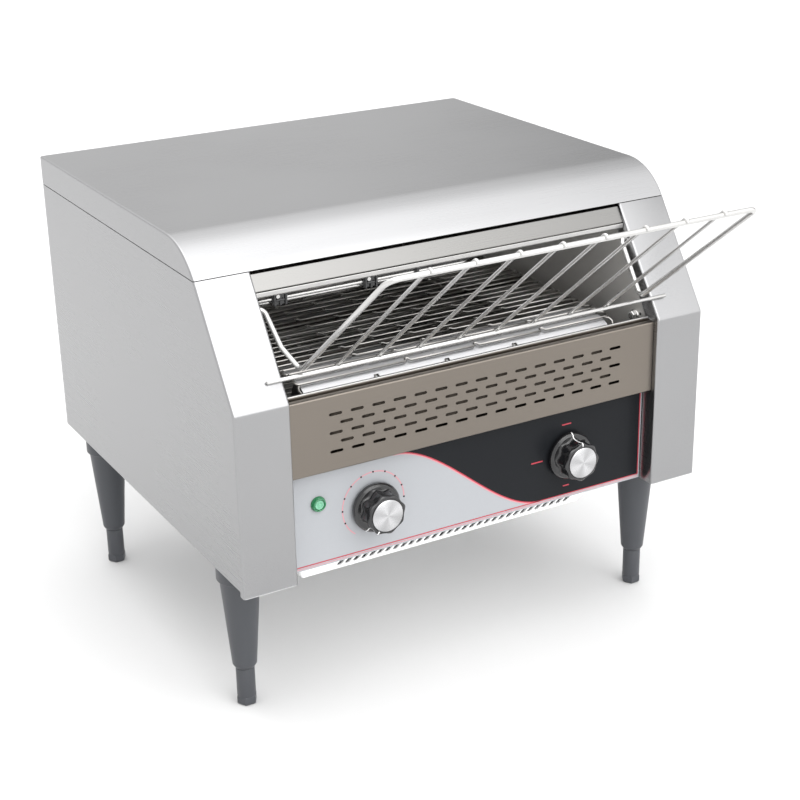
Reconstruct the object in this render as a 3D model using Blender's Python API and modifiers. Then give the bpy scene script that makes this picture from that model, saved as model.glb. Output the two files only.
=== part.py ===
"""Countertop conveyor toaster oven: sheet-metal housing, wire conveyor and loading rack.

Metres, +Z up, front towards -Y. The origin is on the floor under the middle of the whole
object's box. Every shape is drawn in the body frame, whose Y = 0 is the front face of the
two columns, and the RIG empty moves that frame to its place.
"""
import math

import bmesh
import bpy
from mathutils import Matrix, Vector

MM = 0.001
GAP = 0.3 * MM              # clearance kept between pieces that touch

# Driving dimensions of the housing
BODY_HALF_WIDTH = 209 * MM
BODY_DEPTH = 381.5 * MM
BODY_BOTTOM = 121.4 * MM
BEND_HEIGHT = 266.3 * MM    # where the columns start to lean back
SLANT_TOP_Y = 56.3 * MM
SLANT_TOP_Z = 351 * MM
BODY_TOP = 374.6 * MM
COLUMN_WIDTH = 44.5 * MM
CHEEK_DEPTH = 16.5 * MM     # how far each column returns into the opening
PANEL_SHEET = 1.2 * MM
THIN_SHEET = 1.0 * MM
SIDE_STEP = 3 * MM          # the side's lower edge sits this much above the column's foot

BASE_Z = BODY_BOTTOM + SIDE_STEP + PANEL_SHEET + GAP    # underside of the base plate
SLANT_RUN = SLANT_TOP_Y
SLANT_RISE = SLANT_TOP_Z - BEND_HEIGHT
SLANT_ANGLE = math.atan2(SLANT_RISE, SLANT_RUN)
CHEEK_X = BODY_HALF_WIDTH - COLUMN_WIDTH
CHAMBER_HALF = CHEEK_X - GAP
CHAMBER_FLOOR_Z = 199 * MM

# Conveyor
BELT_RADIUS = 25 * MM
BELT_THICKNESS = 3 * MM
BELT_HALF_WIDTH = 143 * MM
BELT_TOP = 266.3 * MM
SHAFT_Z = BELT_TOP - BELT_RADIUS
NOSE_Y = 45 * MM            # axis of the belt's front turn
DRIVE_Y = 332 * MM
SHAFT_RADIUS = 5 * MM
SPROCKET_TIP = BELT_RADIUS - BELT_THICKNESS - GAP
SPROCKET_X = 105 * MM
SPROCKET_WIDTH = 8 * MM
BELT_TEETH = 12
TOOTH_HEIGHT = 4 * MM
NOSE_RADIUS = BELT_RADIUS - BELT_THICKNESS - GAP    # outside of the fixed nose guide
NOSE_HALF = 138 * MM
NOSE_TOP_END = 68 * MM      # how far back its flat top reaches
NOSE_LOW_END = 60 * MM
NOSE_DISC_X = 130 * MM
NOSE_DISC_WIDTH = 4 * MM
BUSH_RADIUS = 8 * MM

# Chain drive in the right-hand compartment
CHAIN_PITCH = 6.35 * MM
MOTOR_TEETH = 12
DRIVEN_TEETH = 18
CHAIN_X = 186 * MM
CHAIN_WIDTH = 5 * MM
MOTOR_Y = 292 * MM
MOTOR_Z = 165 * MM
MOTOR_FACE = CHEEK_X - 12 * MM      # where the gearbox meets its bracket
GEARBOX_DEPTH = 34 * MM
GEARBOX_HALF_Y = 32 * MM
GEARBOX_HALF_Z = 28 * MM
MOTOR_CAN_RADIUS = 26 * MM
MOTOR_CAN_LENGTH = 64 * MM
BRACKET_SHEET = 2 * MM

# Loading rack
FRAME_WIRE = 2.0 * MM       # wire radii
RAIL_WIRE = 1.5 * MM
INNER_WIRE = 1.25 * MM
RACK_HALF = 151 * MM
HOOK_Y = 47 * MM
HOOK_Z = 324 * MM
HOOK_END_X = 171 * MM
LOW_RAIL_ALONG = 18.5 * MM  # how far up the leaning faces the lower rail rests
LOW_RAIL_HALF = 178 * MM
RACK_ANGLE = math.radians(38.4)
RACK_LENGTH = 167 * MM
INNER_PITCH = 34.3 * MM
INNER_COUNT = 8

# Controls
CONTROL_PANEL_Y = 16.5 * MM
CONTROL_PANEL_TOP = 212 * MM
KNOB_X = 90 * MM
KNOB_Z = 161.2 * MM
KNOB_STANDOFF = 2 * MM
KNOB_LENGTH = 19 * MM
SKIRT_RADIUS = 20.1 * MM
GRIP_RADIUS = 16.5 * MM
CAP_RADIUS = 13 * MM
STEM_RADIUS = 3 * MM
LAMP_X = -137.5 * MM
LAMP_Z = 174.5 * MM
LAMP_RADIUS = 5.6 * MM

# Sheets that hide behind others
SHIELD_Y = 12.5 * MM
SHIELD_BOTTOM = 213 * MM
SHIELD_TOP = BEND_HEIGHT - 0.1 * MM
SHIELD_LIP = 2 * MM
LINTEL_SET_BACK = 3 * MM
LINTEL_TOP_ALONG = 99.6 * MM        # distances up the leaning faces
LINTEL_LIP_ALONG = 86 * MM
LINTEL_HEM_ALONG = 82.5 * MM
LINTEL_RETURN = 12 * MM

# Perforated baffle
BAFFLE_Y = 5 * MM
BAFFLE_BOTTOM = 204 * MM
BAFFLE_TOP = 263.6 * MM
BAFFLE_RIM = 8 * MM
SLOT_PITCH_X = 18 * MM
SLOT_PITCH_Z = 7.4 * MM
SLOT_TOP_Z = 249 * MM
SLOT_LENGTH = 10.8 * MM
SLOT_HEIGHT = 2.4 * MM
SLOT_ROWS = 5
LONG_ROW_SLOTS = 15

# Belly pan under the base
PAN_LEFT = -155 * MM
PAN_RIGHT = 115 * MM
PAN_FRONT = 18.2 * MM
PAN_BACK = 262 * MM
PAN_TOP = BODY_BOTTOM + SIDE_STEP
PAN_DEPTH = 15 * MM
PAN_TAPER = 7 * MM
PAN_SLOPE = 9 * MM
VENT_COUNT = 31
VENT_FIRST_X = -116.5 * MM
VENT_LAST_X = 94.5 * MM
VENT_WIDTH = 2.6 * MM
VENT_LENGTH = 9 * MM
VENT_DOWN = 0.62            # how far down the sloping front the vents sit, as a share
AIR_HOLE = (-135 * MM, 60 * MM, 45 * MM, 230 * MM)     # opening in the base above the pan

# Legs and levelling feet
LEG_X = 188.7 * MM
FRONT_LEG_Y = 53 * MM
BACK_LEG_Y = BODY_DEPTH - 45.5 * MM
LEG_TOP = BODY_BOTTOM + SIDE_STEP - GAP
LEG_BOTTOM = 33 * MM
LEG_RIM_RADIUS = 18 * MM
LEG_RIM_HEIGHT = 13 * MM
LEG_TOP_RADIUS = 15.6 * MM
LEG_LOW_RADIUS = 9.7 * MM
LEG_END_RADIUS = 7.8 * MM
LEG_BORE_TOP = 75 * MM
STUD_RADIUS = 4 * MM
STUD_TOP = 58 * MM
SLEEVE_RADIUS = 7.5 * MM
FOOT_HEX_HEIGHT = 8 * MM
FOOT_HEX_RADIUS = 8.3 * MM

# Heaters
HEATER_RADIUS = 3.25 * MM
HEATER_HALF = 178 * MM
HEATER_YS = (120 * MM, 195 * MM, 270 * MM)
UPPER_HEATER_Z = 322 * MM
LOWER_HEATER_Z = 249 * MM
HEATER_PIN = 1.5 * MM
HEATER_PIN_LENGTH = 12 * MM
CEILING_Z = 343 * MM

# Thermostat bulb under the lintel
BULB_Y = 64 * MM
BULB_Z = 323.5 * MM
BULB_RADIUS = 1.7 * MM
BULB_LEFT = -158 * MM
BULB_RIGHT = 29 * MM
CLAMP_XS = {"left": -140 * MM, "middle": -64 * MM}
CLAMP_HALF = 6 * MM

# Rear outlet and crumb tray
OUTLET_HALF = 148 * MM
OUTLET_BOTTOM = 226 * MM
OUTLET_TOP = 306 * MM
TRAY_HALF = 157 * MM
TRAY_BOTTOM = 202.6 * MM
TRAY_HEIGHT = 9 * MM
TRAY_FRONT = 30 * MM
TRAY_BACK = BODY_DEPTH + 4 * MM
TRAY_LIP = 8 * MM
COOLING_SLOT_XS = (-20 * MM, 26 * MM, 72 * MM, 118 * MM)
COOLING_SLOT_LENGTH = 34 * MM
COOLING_SLOT_HEIGHT = 4 * MM
COOLING_ROWS = 4
COOLING_FIRST_Z = 142 * MM
COOLING_PITCH = 12 * MM

# Supply side
GLAND_X = -150 * MM
GLAND_Z = 150 * MM
GLAND_THREAD = 8.5 * MM
TERMINAL_X = (-196 * MM, -172 * MM)
TERMINAL_Y = (300 * MM, 350 * MM)
TERMINAL_HEIGHT = 22 * MM

# The body frame is moved so that the world origin is under the middle of the whole box
LOW_RAIL_OUT = RAIL_WIRE + GAP
LOW_RAIL_Y = LOW_RAIL_ALONG * math.cos(SLANT_ANGLE) - LOW_RAIL_OUT * math.sin(SLANT_ANGLE)
LOW_RAIL_Z = (BEND_HEIGHT + LOW_RAIL_ALONG * math.sin(SLANT_ANGLE)
              + LOW_RAIL_OUT * math.cos(SLANT_ANGLE))
RACK_FRONT = LOW_RAIL_Y - RACK_LENGTH * math.cos(RACK_ANGLE) - 4.2 * MM
OBJECT_BACK = TRAY_BACK + TRAY_LIP
RIG_Y = -(RACK_FRONT + OBJECT_BACK) / 2

ALONG_X = (0, math.pi / 2, 0)            # local +Z points to +X
TO_FRONT = (math.pi / 2, 0, 0)           # local +Z points to -Y
TO_BACK = (-math.pi / 2, 0, 0)           # local +Z points to +Y
YZ_PLANE = (math.pi / 2, 0, math.pi / 2)  # local X, Y, Z become Y, Z, X
XZ_PLANE = (math.pi / 2, 0, 0)           # local X, Y, Z become X, Z, -Y

for old in list(bpy.data.objects):
    bpy.data.objects.remove(old, do_unlink=True)


def make_collection(name):
    collection = bpy.data.collections.new(name)
    bpy.context.scene.collection.children.link(collection)
    return collection


PARTS = make_collection("conveyor_toaster")
CUTTERS = make_collection("cutters")
RIG = bpy.data.objects.new("rig", None)
RIG.location = (0, RIG_Y, 0)
PARTS.objects.link(RIG)


def material(name, colour, roughness, metallic):
    mat = bpy.data.materials.new(name)
    mat.use_nodes = True
    shader = mat.node_tree.nodes["Principled BSDF"]
    shader.inputs["Base Color"].default_value = (*colour, 1)
    shader.inputs["Roughness"].default_value = roughness
    shader.inputs["Metallic"].default_value = metallic
    mat.diffuse_color = (*colour, 1)
    return mat


STEEL = material("brushed_stainless", (0.62, 0.62, 0.63), 0.32, 1.0)
WARM_STEEL = material("heat_tinted_stainless", (0.48, 0.44, 0.39), 0.38, 1.0)
LINER = material("chamber_liner", (0.45, 0.45, 0.45), 0.45, 1.0)
GALVANISED = material("galvanised_sheet", (0.55, 0.56, 0.57), 0.5, 1.0)
WHITE_SHEET = material("white_sheet", (0.8, 0.8, 0.8), 0.45, 0.0)
DECAL = material("control_panel", (0.35, 0.35, 0.37), 0.4, 0.3)
CHROME = material("chromed_wire", (0.8, 0.8, 0.8), 0.15, 1.0)
BELT = material("belt_wire", (0.5, 0.5, 0.5), 0.35, 1.0)
BAKELITE = material("black_bakelite", (0.02, 0.02, 0.02), 0.35, 0.0)
ALUMINIUM = material("spun_aluminium", (0.75, 0.75, 0.76), 0.28, 1.0)
GREEN = material("green_lens", (0.05, 0.45, 0.15), 0.25, 0.0)
LEG_PLASTIC = material("grey_leg", (0.12, 0.13, 0.15), 0.5, 0.0)
DARK_STEEL = material("dark_steel", (0.2, 0.2, 0.21), 0.4, 1.0)
SHEATH = material("heater_sheath", (0.16, 0.15, 0.14), 0.5, 1.0)
BRASS = material("sintered_bronze", (0.55, 0.38, 0.18), 0.4, 1.0)
MOTOR_PAINT = material("motor_paint", (0.15, 0.16, 0.18), 0.45, 0.2)


def add(name, data, mat, collection=PARTS):
    """Put mesh or curve data in the body frame as a named object."""
    obj = bpy.data.objects.new(name, data)
    collection.objects.link(obj)
    obj.parent = RIG
    if mat:
        data.materials.append(mat)
    if collection is CUTTERS:
        obj.hide_render = True
        obj.display_type = 'WIRE'
    return obj


def from_bmesh(name, bm, mat, collection=PARTS, smooth=False):
    mesh = bpy.data.meshes.new(name)
    bm.to_mesh(mesh)
    bm.free()
    if smooth:
        mesh.shade_smooth()
        mesh.set_sharp_from_angle(angle=math.radians(35))
    return add(name, mesh, mat, collection)


def cube_into(bm, low, high):
    size = [high[i] - low[i] for i in range(3)]
    middle = [(high[i] + low[i]) / 2 for i in range(3)]
    placed = Matrix.Translation(middle) @ Matrix.Diagonal((*size, 1))
    return bmesh.ops.create_cube(bm, size=1, matrix=placed)["verts"]


def block(name, low, high, mat, collection=PARTS):
    """A solid box between two corners."""
    bm = bmesh.new()
    cube_into(bm, low, high)
    return from_bmesh(name, bm, mat, collection)


def cylinder(name, centre, radius, length, rotation, mat, collection=PARTS, sides=24):
    """A solid cylinder about its centre, its axis being the rotated local Z."""
    bm = bmesh.new()
    bmesh.ops.create_cone(bm, cap_ends=True, segments=sides, radius1=radius,
                          radius2=radius, depth=length)
    obj = from_bmesh(name, bm, mat, collection, smooth=True)
    obj.location = centre
    obj.rotation_euler = rotation
    return obj


def boolean(obj, other, operation):
    step = obj.modifiers.new(other.name, 'BOOLEAN')
    step.operation = operation
    step.solver = 'EXACT'
    step.object = other


def cut(obj, cutter):
    boolean(obj, cutter, 'DIFFERENCE')


def join(obj, other):
    boolean(obj, other, 'UNION')


def solidify(obj, thickness):
    """Give an open sheet its thickness on the side away from its normals."""
    shell = obj.modifiers.new("sheet", 'SOLIDIFY')
    shell.thickness = thickness
    shell.offset = -1
    shell.solidify_mode = 'NON_MANIFOLD'
    shell.nonmanifold_thickness_mode = 'CONSTRAINTS'


def face_outwards(bm, outward, lead=None):
    """Turn a connected open sheet so that one face, by default its first, looks outward."""
    bmesh.ops.recalc_face_normals(bm, faces=bm.faces)
    bm.faces.ensure_lookup_table()
    bm.normal_update()
    face = lead or bm.faces[0]
    if face.normal.dot(Vector(outward)) < 0:
        bmesh.ops.reverse_faces(bm, faces=bm.faces)


def bent_sheet(name, profile, half_width, thickness, outward, mat, middle=0.0):
    """A folded strip: a (y, z) profile swept along X, thickened away from outward.

    outward is where the face on the profile's first stretch looks.
    """
    bm = bmesh.new()
    left = [bm.verts.new((middle - half_width, y, z)) for y, z in profile]
    edges = [bm.edges.new((a, b)) for a, b in zip(left, left[1:])]
    moved = bmesh.ops.extrude_edge_only(bm, edges=edges)["geom"]
    verts = [item for item in moved if isinstance(item, bmesh.types.BMVert)]
    bmesh.ops.translate(bm, verts=verts, vec=(2 * half_width, 0, 0))
    face_outwards(bm, outward, edges[0].link_faces[0])
    obj = from_bmesh(name, bm, mat)
    solidify(obj, thickness)
    return obj


def turned(name, profile, centre, rotation, mat, steps=24):
    """A lathe-turned shape from (radius, height) points that run down its outer side.

    A profile that starts off the axis is closed into a ring.
    """
    bm = bmesh.new()
    verts = [bm.verts.new((radius, 0, height)) for radius, height in profile]
    for a, b in zip(verts, verts[1:]):
        bm.edges.new((a, b))
    if profile[0][0] > 0:
        bm.edges.new((verts[-1], verts[0]))
    obj = from_bmesh(name, bm, mat)
    obj.location = centre
    obj.rotation_euler = rotation
    screw = obj.modifiers.new("turned", 'SCREW')
    screw.steps = steps
    screw.render_steps = steps
    screw.use_merge_vertices = True
    screw.merge_threshold = 0.00001
    return obj


def flat_shape(name, loops, rotation, offset, thickness, mat, collection=PARTS):
    """A plate cut from outlines: the first loop is its edge, the others are holes.

    offset is where the plate's middle plane sits on the world axis that it faces.
    """
    curve = bpy.data.curves.new(name, 'CURVE')
    curve.dimensions = '2D'
    curve.fill_mode = 'BOTH'
    curve.extrude = thickness / 2
    for loop in loops:
        spline = curve.splines.new('POLY')
        spline.points.add(len(loop) - 1)
        spline.use_cyclic_u = True
        for point, (x, y) in zip(spline.points, loop):
            point.co = (x, y, 0, 1)
    obj = add(name, curve, mat, collection)
    obj.rotation_euler = rotation
    axis = 0 if rotation == YZ_PLANE else (1 if rotation == XZ_PLANE else 2)
    obj.location[axis] = offset
    return obj


def wire(name, points, radius, mat, collection=PARTS):
    """A round wire along points, as a closed tube."""
    curve = bpy.data.curves.new(name, 'CURVE')
    curve.dimensions = '3D'
    curve.bevel_depth = radius
    curve.bevel_resolution = 2
    curve.use_fill_caps = True
    spline = curve.splines.new('POLY')
    spline.points.add(len(points) - 1)
    for point, place in zip(spline.points, points):
        point.co = (*place, 1)
    return add(name, curve, mat, collection)


def to_mesh(obj, collection=PARTS):
    """Replace a curve object with the welded mesh that it makes."""
    graph = bpy.context.evaluated_depsgraph_get()
    mesh = bpy.data.meshes.new_from_object(obj.evaluated_get(graph))
    bm = bmesh.new()
    bm.from_mesh(mesh)
    bmesh.ops.remove_doubles(bm, verts=bm.verts, dist=0.00001)
    bmesh.ops.recalc_face_normals(bm, faces=bm.faces)
    bm.to_mesh(mesh)
    bm.free()
    name = obj.name
    place = obj.location.copy()
    turn = obj.rotation_euler.copy()
    bpy.data.objects.remove(obj, do_unlink=True)
    solid = add(name, mesh, None, collection)
    solid.name = name
    solid.location = place
    solid.rotation_euler = turn
    return solid


def pivot_at(obj, pivot):
    """Move an object's origin to its joint's axis, leaving its shape in place."""
    obj.data.transform(Matrix.Translation(-Vector(pivot)))
    obj.location = pivot


def rectangle(x0, x1, y0, y1):
    return [(x0, y0), (x1, y0), (x1, y1), (x0, y1)]


def circle(x, y, radius, sides=16):
    turn = 2 * math.pi / sides
    return [(x + radius * math.cos(i * turn), y + radius * math.sin(i * turn))
            for i in range(sides)]


def arc(centre, radius, start, end, steps):
    """Points on an arc about centre, in a plane, from one angle to the other."""
    angles = [start + (end - start) * i / steps for i in range(steps + 1)]
    return [(centre[0] + radius * math.cos(a), centre[1] + radius * math.sin(a))
            for a in angles]


def slant_y(z):
    """Y of the columns' leaning front face at a height above the bend."""
    return max(0.0, (z - BEND_HEIGHT) * SLANT_RUN / SLANT_RISE)


def on_slant(along, out):
    """(y, z) at a distance along the leaning face and a distance out of it."""
    run = math.cos(SLANT_ANGLE)
    rise = math.sin(SLANT_ANGLE)
    return (along * run - out * rise, BEND_HEIGHT + along * rise + out * run)


def side_outline():
    """The side wall's (y, z) outline, with short plain stretches beside its flanges."""
    low = BODY_BOTTOM + SIDE_STEP
    inset = 4 * MM
    top = SLANT_TOP_Z - MM
    return [(0, BODY_BOTTOM), (0, BEND_HEIGHT), (slant_y(top), top),
            (slant_y(top) + 8 * MM, top), (BODY_DEPTH - inset, top), (BODY_DEPTH, top),
            (BODY_DEPTH, top - inset), (BODY_DEPTH, low + inset), (BODY_DEPTH, low),
            (BODY_DEPTH - inset, low), (6 * MM + inset, low), (6 * MM, low),
            (6 * MM, BODY_BOTTOM)]


def side_panel(name, side):
    """Outer side wall folded into its column: face, leaning face and return cheek."""
    bm = bmesh.new()
    corners = [bm.verts.new((side * BODY_HALF_WIDTH, y, z)) for y, z in side_outline()]
    count = len(corners)
    edges = [bm.edges.new((corners[i], corners[(i + 1) % count])) for i in range(count)]
    bm.faces.new(corners)
    inwards = -side
    folds = [((0, 1), [(inwards * COLUMN_WIDTH, 0, 0), (0, CHEEK_DEPTH, 0)]),
             ((3,), [(inwards * 14 * MM, 0, 0)]),
             ((6,), [(inwards * 14 * MM, 0, 0)]),
             ((9,), [(inwards * 38 * MM, 0, 0)])]
    for numbers, moves in folds:
        fold = [edges[i] for i in numbers]
        for move in moves:
            made = bmesh.ops.extrude_edge_only(bm, edges=fold)["geom"]
            verts = [item for item in made if isinstance(item, bmesh.types.BMVert)]
            fold = [item for item in made if isinstance(item, bmesh.types.BMEdge)
                    and all(v in verts for v in item.verts)]
            bmesh.ops.translate(bm, verts=verts, vec=move)
    face_outwards(bm, (side, 0, 0))
    panel = from_bmesh(name, bm, STEEL)
    solidify(panel, PANEL_SHEET)
    hook_hole = cylinder("hook_hole_" + name, (side * CHEEK_X, HOOK_Y, HOOK_Z),
                         FRAME_WIRE + 0.5 * MM, 8 * MM, ALONG_X, None, CUTTERS, 12)
    cut(panel, hook_hole)
    return panel


def cover_outline():
    """The top cover's (y, z) side outline: nose curve, flat top and straight back."""
    rise = BODY_TOP - SLANT_TOP_Z
    radius = rise / (1 - math.cos(SLANT_ANGLE))
    centre = (SLANT_TOP_Y + radius * math.sin(SLANT_ANGLE), BODY_TOP - radius)
    nose = arc(centre, radius, math.pi / 2 + SLANT_ANGLE, math.pi / 2, 10)
    return nose + [(BODY_DEPTH, BODY_TOP), (BODY_DEPTH, SLANT_TOP_Z)]


def top_cover():
    """A lid over the whole housing, open below, its nose curving down to the columns."""
    bm = bmesh.new()
    left = [bm.verts.new((-BODY_HALF_WIDTH, y, z)) for y, z in cover_outline()]
    base = bm.faces.new(left)
    made = bmesh.ops.extrude_face_region(bm, geom=[base])["geom"]
    verts = [item for item in made if isinstance(item, bmesh.types.BMVert)]
    bmesh.ops.translate(bm, verts=verts, vec=(2 * BODY_HALF_WIDTH, 0, 0))
    bmesh.ops.recalc_face_normals(bm, faces=bm.faces)
    below = [face for face in bm.faces if face.normal.z < -0.9]
    bmesh.ops.delete(bm, geom=below, context='FACES_ONLY')
    cover = from_bmesh("top_cover", bm, STEEL)
    solidify(cover, PANEL_SHEET)
    return cover


def lintel():
    """Strip above the loading opening, with a bright hemmed lower lip."""
    top_y, top_z = on_slant(LINTEL_TOP_ALONG, -LINTEL_SET_BACK)
    lip_y, lip_z = on_slant(LINTEL_LIP_ALONG, -LINTEL_SET_BACK)
    hem_y, hem_z = on_slant(LINTEL_HEM_ALONG, -2 * LINTEL_SET_BACK)
    profile = [(top_y + LINTEL_RETURN, top_z), (top_y, top_z), (lip_y, lip_z),
               (hem_y, hem_z), (hem_y + LINTEL_RETURN / 2, hem_z)]
    bent_sheet("lintel", profile, CHAMBER_HALF, PANEL_SHEET, (0, 0, 1), STEEL)


def perforated_baffle():
    """Slotted sheet in front of the conveyor's nose, its long edges folded back."""
    profile = [(BAFFLE_Y + BAFFLE_RIM, BAFFLE_BOTTOM), (BAFFLE_Y, BAFFLE_BOTTOM),
               (BAFFLE_Y, BAFFLE_TOP), (BAFFLE_Y + BAFFLE_RIM * 0.7, BAFFLE_TOP)]
    baffle = bent_sheet("perforated_baffle", profile, CHAMBER_HALF, THIN_SHEET,
                        (0, 0, -1), WARM_STEEL)
    bm = bmesh.new()
    for row in range(SLOT_ROWS):
        slots = LONG_ROW_SLOTS - row % 2
        z = SLOT_TOP_Z - row * SLOT_PITCH_Z
        for column in range(slots):
            x = (column - (slots - 1) / 2) * SLOT_PITCH_X
            cube_into(bm, (x - SLOT_LENGTH / 2, BAFFLE_Y - MM, z - SLOT_HEIGHT / 2),
                      (x + SLOT_LENGTH / 2, BAFFLE_Y + 3 * MM, z + SLOT_HEIGHT / 2))
    cut(baffle, from_bmesh("baffle_slots", bm, None, CUTTERS))


def heat_shield():
    """Plain sheet between the baffle and the conveyor's nose; only its top edge shows."""
    profile = [(SHIELD_Y, SHIELD_BOTTOM), (SHIELD_Y, SHIELD_TOP),
               (SHIELD_Y + SHIELD_LIP, SHIELD_TOP)]
    bent_sheet("heat_shield", profile, CHAMBER_HALF, THIN_SHEET, (0, -1, 0), STEEL)


def control_panel():
    """Recessed fascia with two spindle holes and the lamp's hole."""
    loops = [rectangle(-CHAMBER_HALF, CHAMBER_HALF, BODY_BOTTOM + 0.5 * MM,
                       CONTROL_PANEL_TOP),
             circle(-KNOB_X, KNOB_Z, STEM_RADIUS + MM),
             circle(KNOB_X, KNOB_Z, STEM_RADIUS + MM),
             circle(LAMP_X, LAMP_Z, LAMP_RADIUS - MM)]
    flat_shape("control_panel", loops, XZ_PLANE, CONTROL_PANEL_Y + PANEL_SHEET / 2,
               PANEL_SHEET, DECAL)


def base_plate():
    """Floor of the housing, open over the belly pan so that air can rise through it."""
    loops = [rectangle(-BODY_HALF_WIDTH + 2 * MM, BODY_HALF_WIDTH - 2 * MM,
                               CONTROL_PANEL_Y + 2 * MM, BODY_DEPTH - 3 * MM),
             rectangle(*AIR_HOLE)]
    flat_shape("base_plate", loops, (0, 0, 0), BASE_Z + PANEL_SHEET / 2, PANEL_SHEET,
               GALVANISED)


def belly_pan():
    """Shallow tapered pan below the base, with a row of vents in its sloping front."""
    bm = bmesh.new()
    cube_into(bm, (PAN_LEFT, PAN_FRONT, PAN_TOP - PAN_DEPTH), (PAN_RIGHT, PAN_BACK, PAN_TOP))
    bm.normal_update()
    lid = [face for face in bm.faces if face.normal.z > 0.9]
    bmesh.ops.delete(bm, geom=lid, context='FACES_ONLY')
    for vert in bm.verts:
        if vert.co.z < PAN_TOP - PAN_DEPTH / 2:
            vert.co.x += PAN_TAPER if vert.co.x < 0 else -PAN_TAPER
            vert.co.y += PAN_SLOPE if vert.co.y < PAN_BACK / 2 else -PAN_SLOPE
    bmesh.ops.recalc_face_normals(bm, faces=bm.faces)
    face_outwards(bm, (0, 0, -1))
    pan = from_bmesh("belly_pan", bm, WHITE_SHEET)
    solidify(pan, THIN_SHEET)
    slots = bmesh.new()
    middle_z = PAN_TOP - PAN_DEPTH * VENT_DOWN
    middle_y = PAN_FRONT + PAN_SLOPE * VENT_DOWN
    reach = 7 * MM
    for number in range(VENT_COUNT):
        x = VENT_FIRST_X + (VENT_LAST_X - VENT_FIRST_X) * number / (VENT_COUNT - 1)
        cube_into(slots, (x - VENT_WIDTH / 2, middle_y - reach, middle_z - VENT_LENGTH / 3),
                  (x + VENT_WIDTH / 2, middle_y + reach, middle_z + VENT_LENGTH / 3))
    cut(pan, from_bmesh("pan_vents", slots, None, CUTTERS))


def rear_panel():
    """Back wall: toast outlet, crumb-tray slot, cable-gland hole and cooling vents."""
    low = BASE_Z + PANEL_SHEET + GAP
    loops = [rectangle(-BODY_HALF_WIDTH + 16 * MM, BODY_HALF_WIDTH - 16 * MM, low,
                       SLANT_TOP_Z - 3 * MM),
             rectangle(-OUTLET_HALF, OUTLET_HALF, OUTLET_BOTTOM, OUTLET_TOP),
             rectangle(-TRAY_HALF - MM, TRAY_HALF + MM, TRAY_BOTTOM - MM,
                       TRAY_BOTTOM + TRAY_HEIGHT + MM),
             circle(GLAND_X, GLAND_Z, GLAND_THREAD)]
    for row in range(COOLING_ROWS):
        z = COOLING_FIRST_Z + row * COOLING_PITCH
        loops += [rectangle(x, x + COOLING_SLOT_LENGTH, z, z + COOLING_SLOT_HEIGHT)
                  for x in COOLING_SLOT_XS]
    flat_shape("rear_panel", loops, XZ_PLANE, BODY_DEPTH - PANEL_SHEET / 2, PANEL_SHEET,
               STEEL)


def chamber_wall(name, side):
    """Inner side wall: its front edge follows the column, with holes for everything
    that crosses it."""
    front = CHEEK_DEPTH + MM
    outline = [(front + 2 * MM, CHAMBER_FLOOR_Z + 2 * MM), (front, BEND_HEIGHT),
               (front + slant_y(CEILING_Z), CEILING_Z), (BODY_DEPTH - 10 * MM, CEILING_Z),
               (BODY_DEPTH - 10 * MM, CHAMBER_FLOOR_Z + 2 * MM)]
    shaft_holes = [circle(NOSE_Y, SHAFT_Z, SHAFT_RADIUS + GAP),
                   circle(DRIVE_Y, SHAFT_Z, BUSH_RADIUS + GAP)]
    heaters = [circle(y, z, HEATER_RADIUS + 0.6 * MM, 12) for y in HEATER_YS
               for z in (UPPER_HEATER_Z, LOWER_HEATER_Z)]
    flat_shape(name, [outline, *shaft_holes, *heaters], YZ_PLANE,
               side * (CHEEK_X + PANEL_SHEET / 2), PANEL_SHEET, LINER)


def ceiling_reflector():
    """Reflector over the upper heaters, its edges turned down inside the walls."""
    flange = 10 * MM
    profile = [(66 * MM, CEILING_Z - flange), (70 * MM, CEILING_Z - 2 * MM),
               (BODY_DEPTH - 16 * MM, CEILING_Z - 2 * MM),
               (BODY_DEPTH - 16 * MM, CEILING_Z - flange)]
    bent_sheet("ceiling_reflector", profile, CHAMBER_HALF, THIN_SHEET, (0, 0, 1), LINER)


def chamber_floor():
    """Heat barrier between the hot chamber and the electrical compartment."""
    profile = [(19 * MM, CHAMBER_FLOOR_Z), (BODY_DEPTH - 4 * MM, CHAMBER_FLOOR_Z)]
    bent_sheet("chamber_floor", profile, CHAMBER_HALF + 14 * MM, THIN_SHEET, (0, 0, 1),
               GALVANISED)


def crumb_tray():
    """Shallow tray under the conveyor; its pull lip stands behind the rear panel."""
    bm = bmesh.new()
    cube_into(bm, (-TRAY_HALF, TRAY_FRONT, TRAY_BOTTOM),
              (TRAY_HALF, TRAY_BACK, TRAY_BOTTOM + TRAY_HEIGHT))
    bm.normal_update()
    lid = [face for face in bm.faces if face.normal.z > 0.9]
    bmesh.ops.delete(bm, geom=lid, context='FACES_ONLY')
    rim = [edge for edge in bm.edges
           if all(v.co.y > TRAY_BACK - MM and v.co.z > TRAY_BOTTOM + MM for v in edge.verts)]
    made = bmesh.ops.extrude_edge_only(bm, edges=rim)["geom"]
    verts = [item for item in made if isinstance(item, bmesh.types.BMVert)]
    bmesh.ops.translate(bm, verts=verts, vec=(0, TRAY_LIP, 0))
    face_outwards(bm, (0, 0, -1))
    tray = from_bmesh("crumb_tray", bm, STEEL)
    solidify(tray, THIN_SHEET)
    pivot_at(tray, (0, TRAY_BACK, TRAY_BOTTOM))
    return tray


def toast_slide():
    """Lip that carries the toast from the conveyor's tail out over the back wall."""
    profile = [(DRIVE_Y + BELT_RADIUS + 2.5 * MM, 234 * MM),
               (BODY_DEPTH - 2 * MM, OUTLET_BOTTOM + 3 * MM),
               (BODY_DEPTH + 7 * MM, OUTLET_BOTTOM + MM)]
    bent_sheet("toast_slide", profile, OUTLET_HALF - MM, THIN_SHEET, (0, 0, 1), STEEL)


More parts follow.
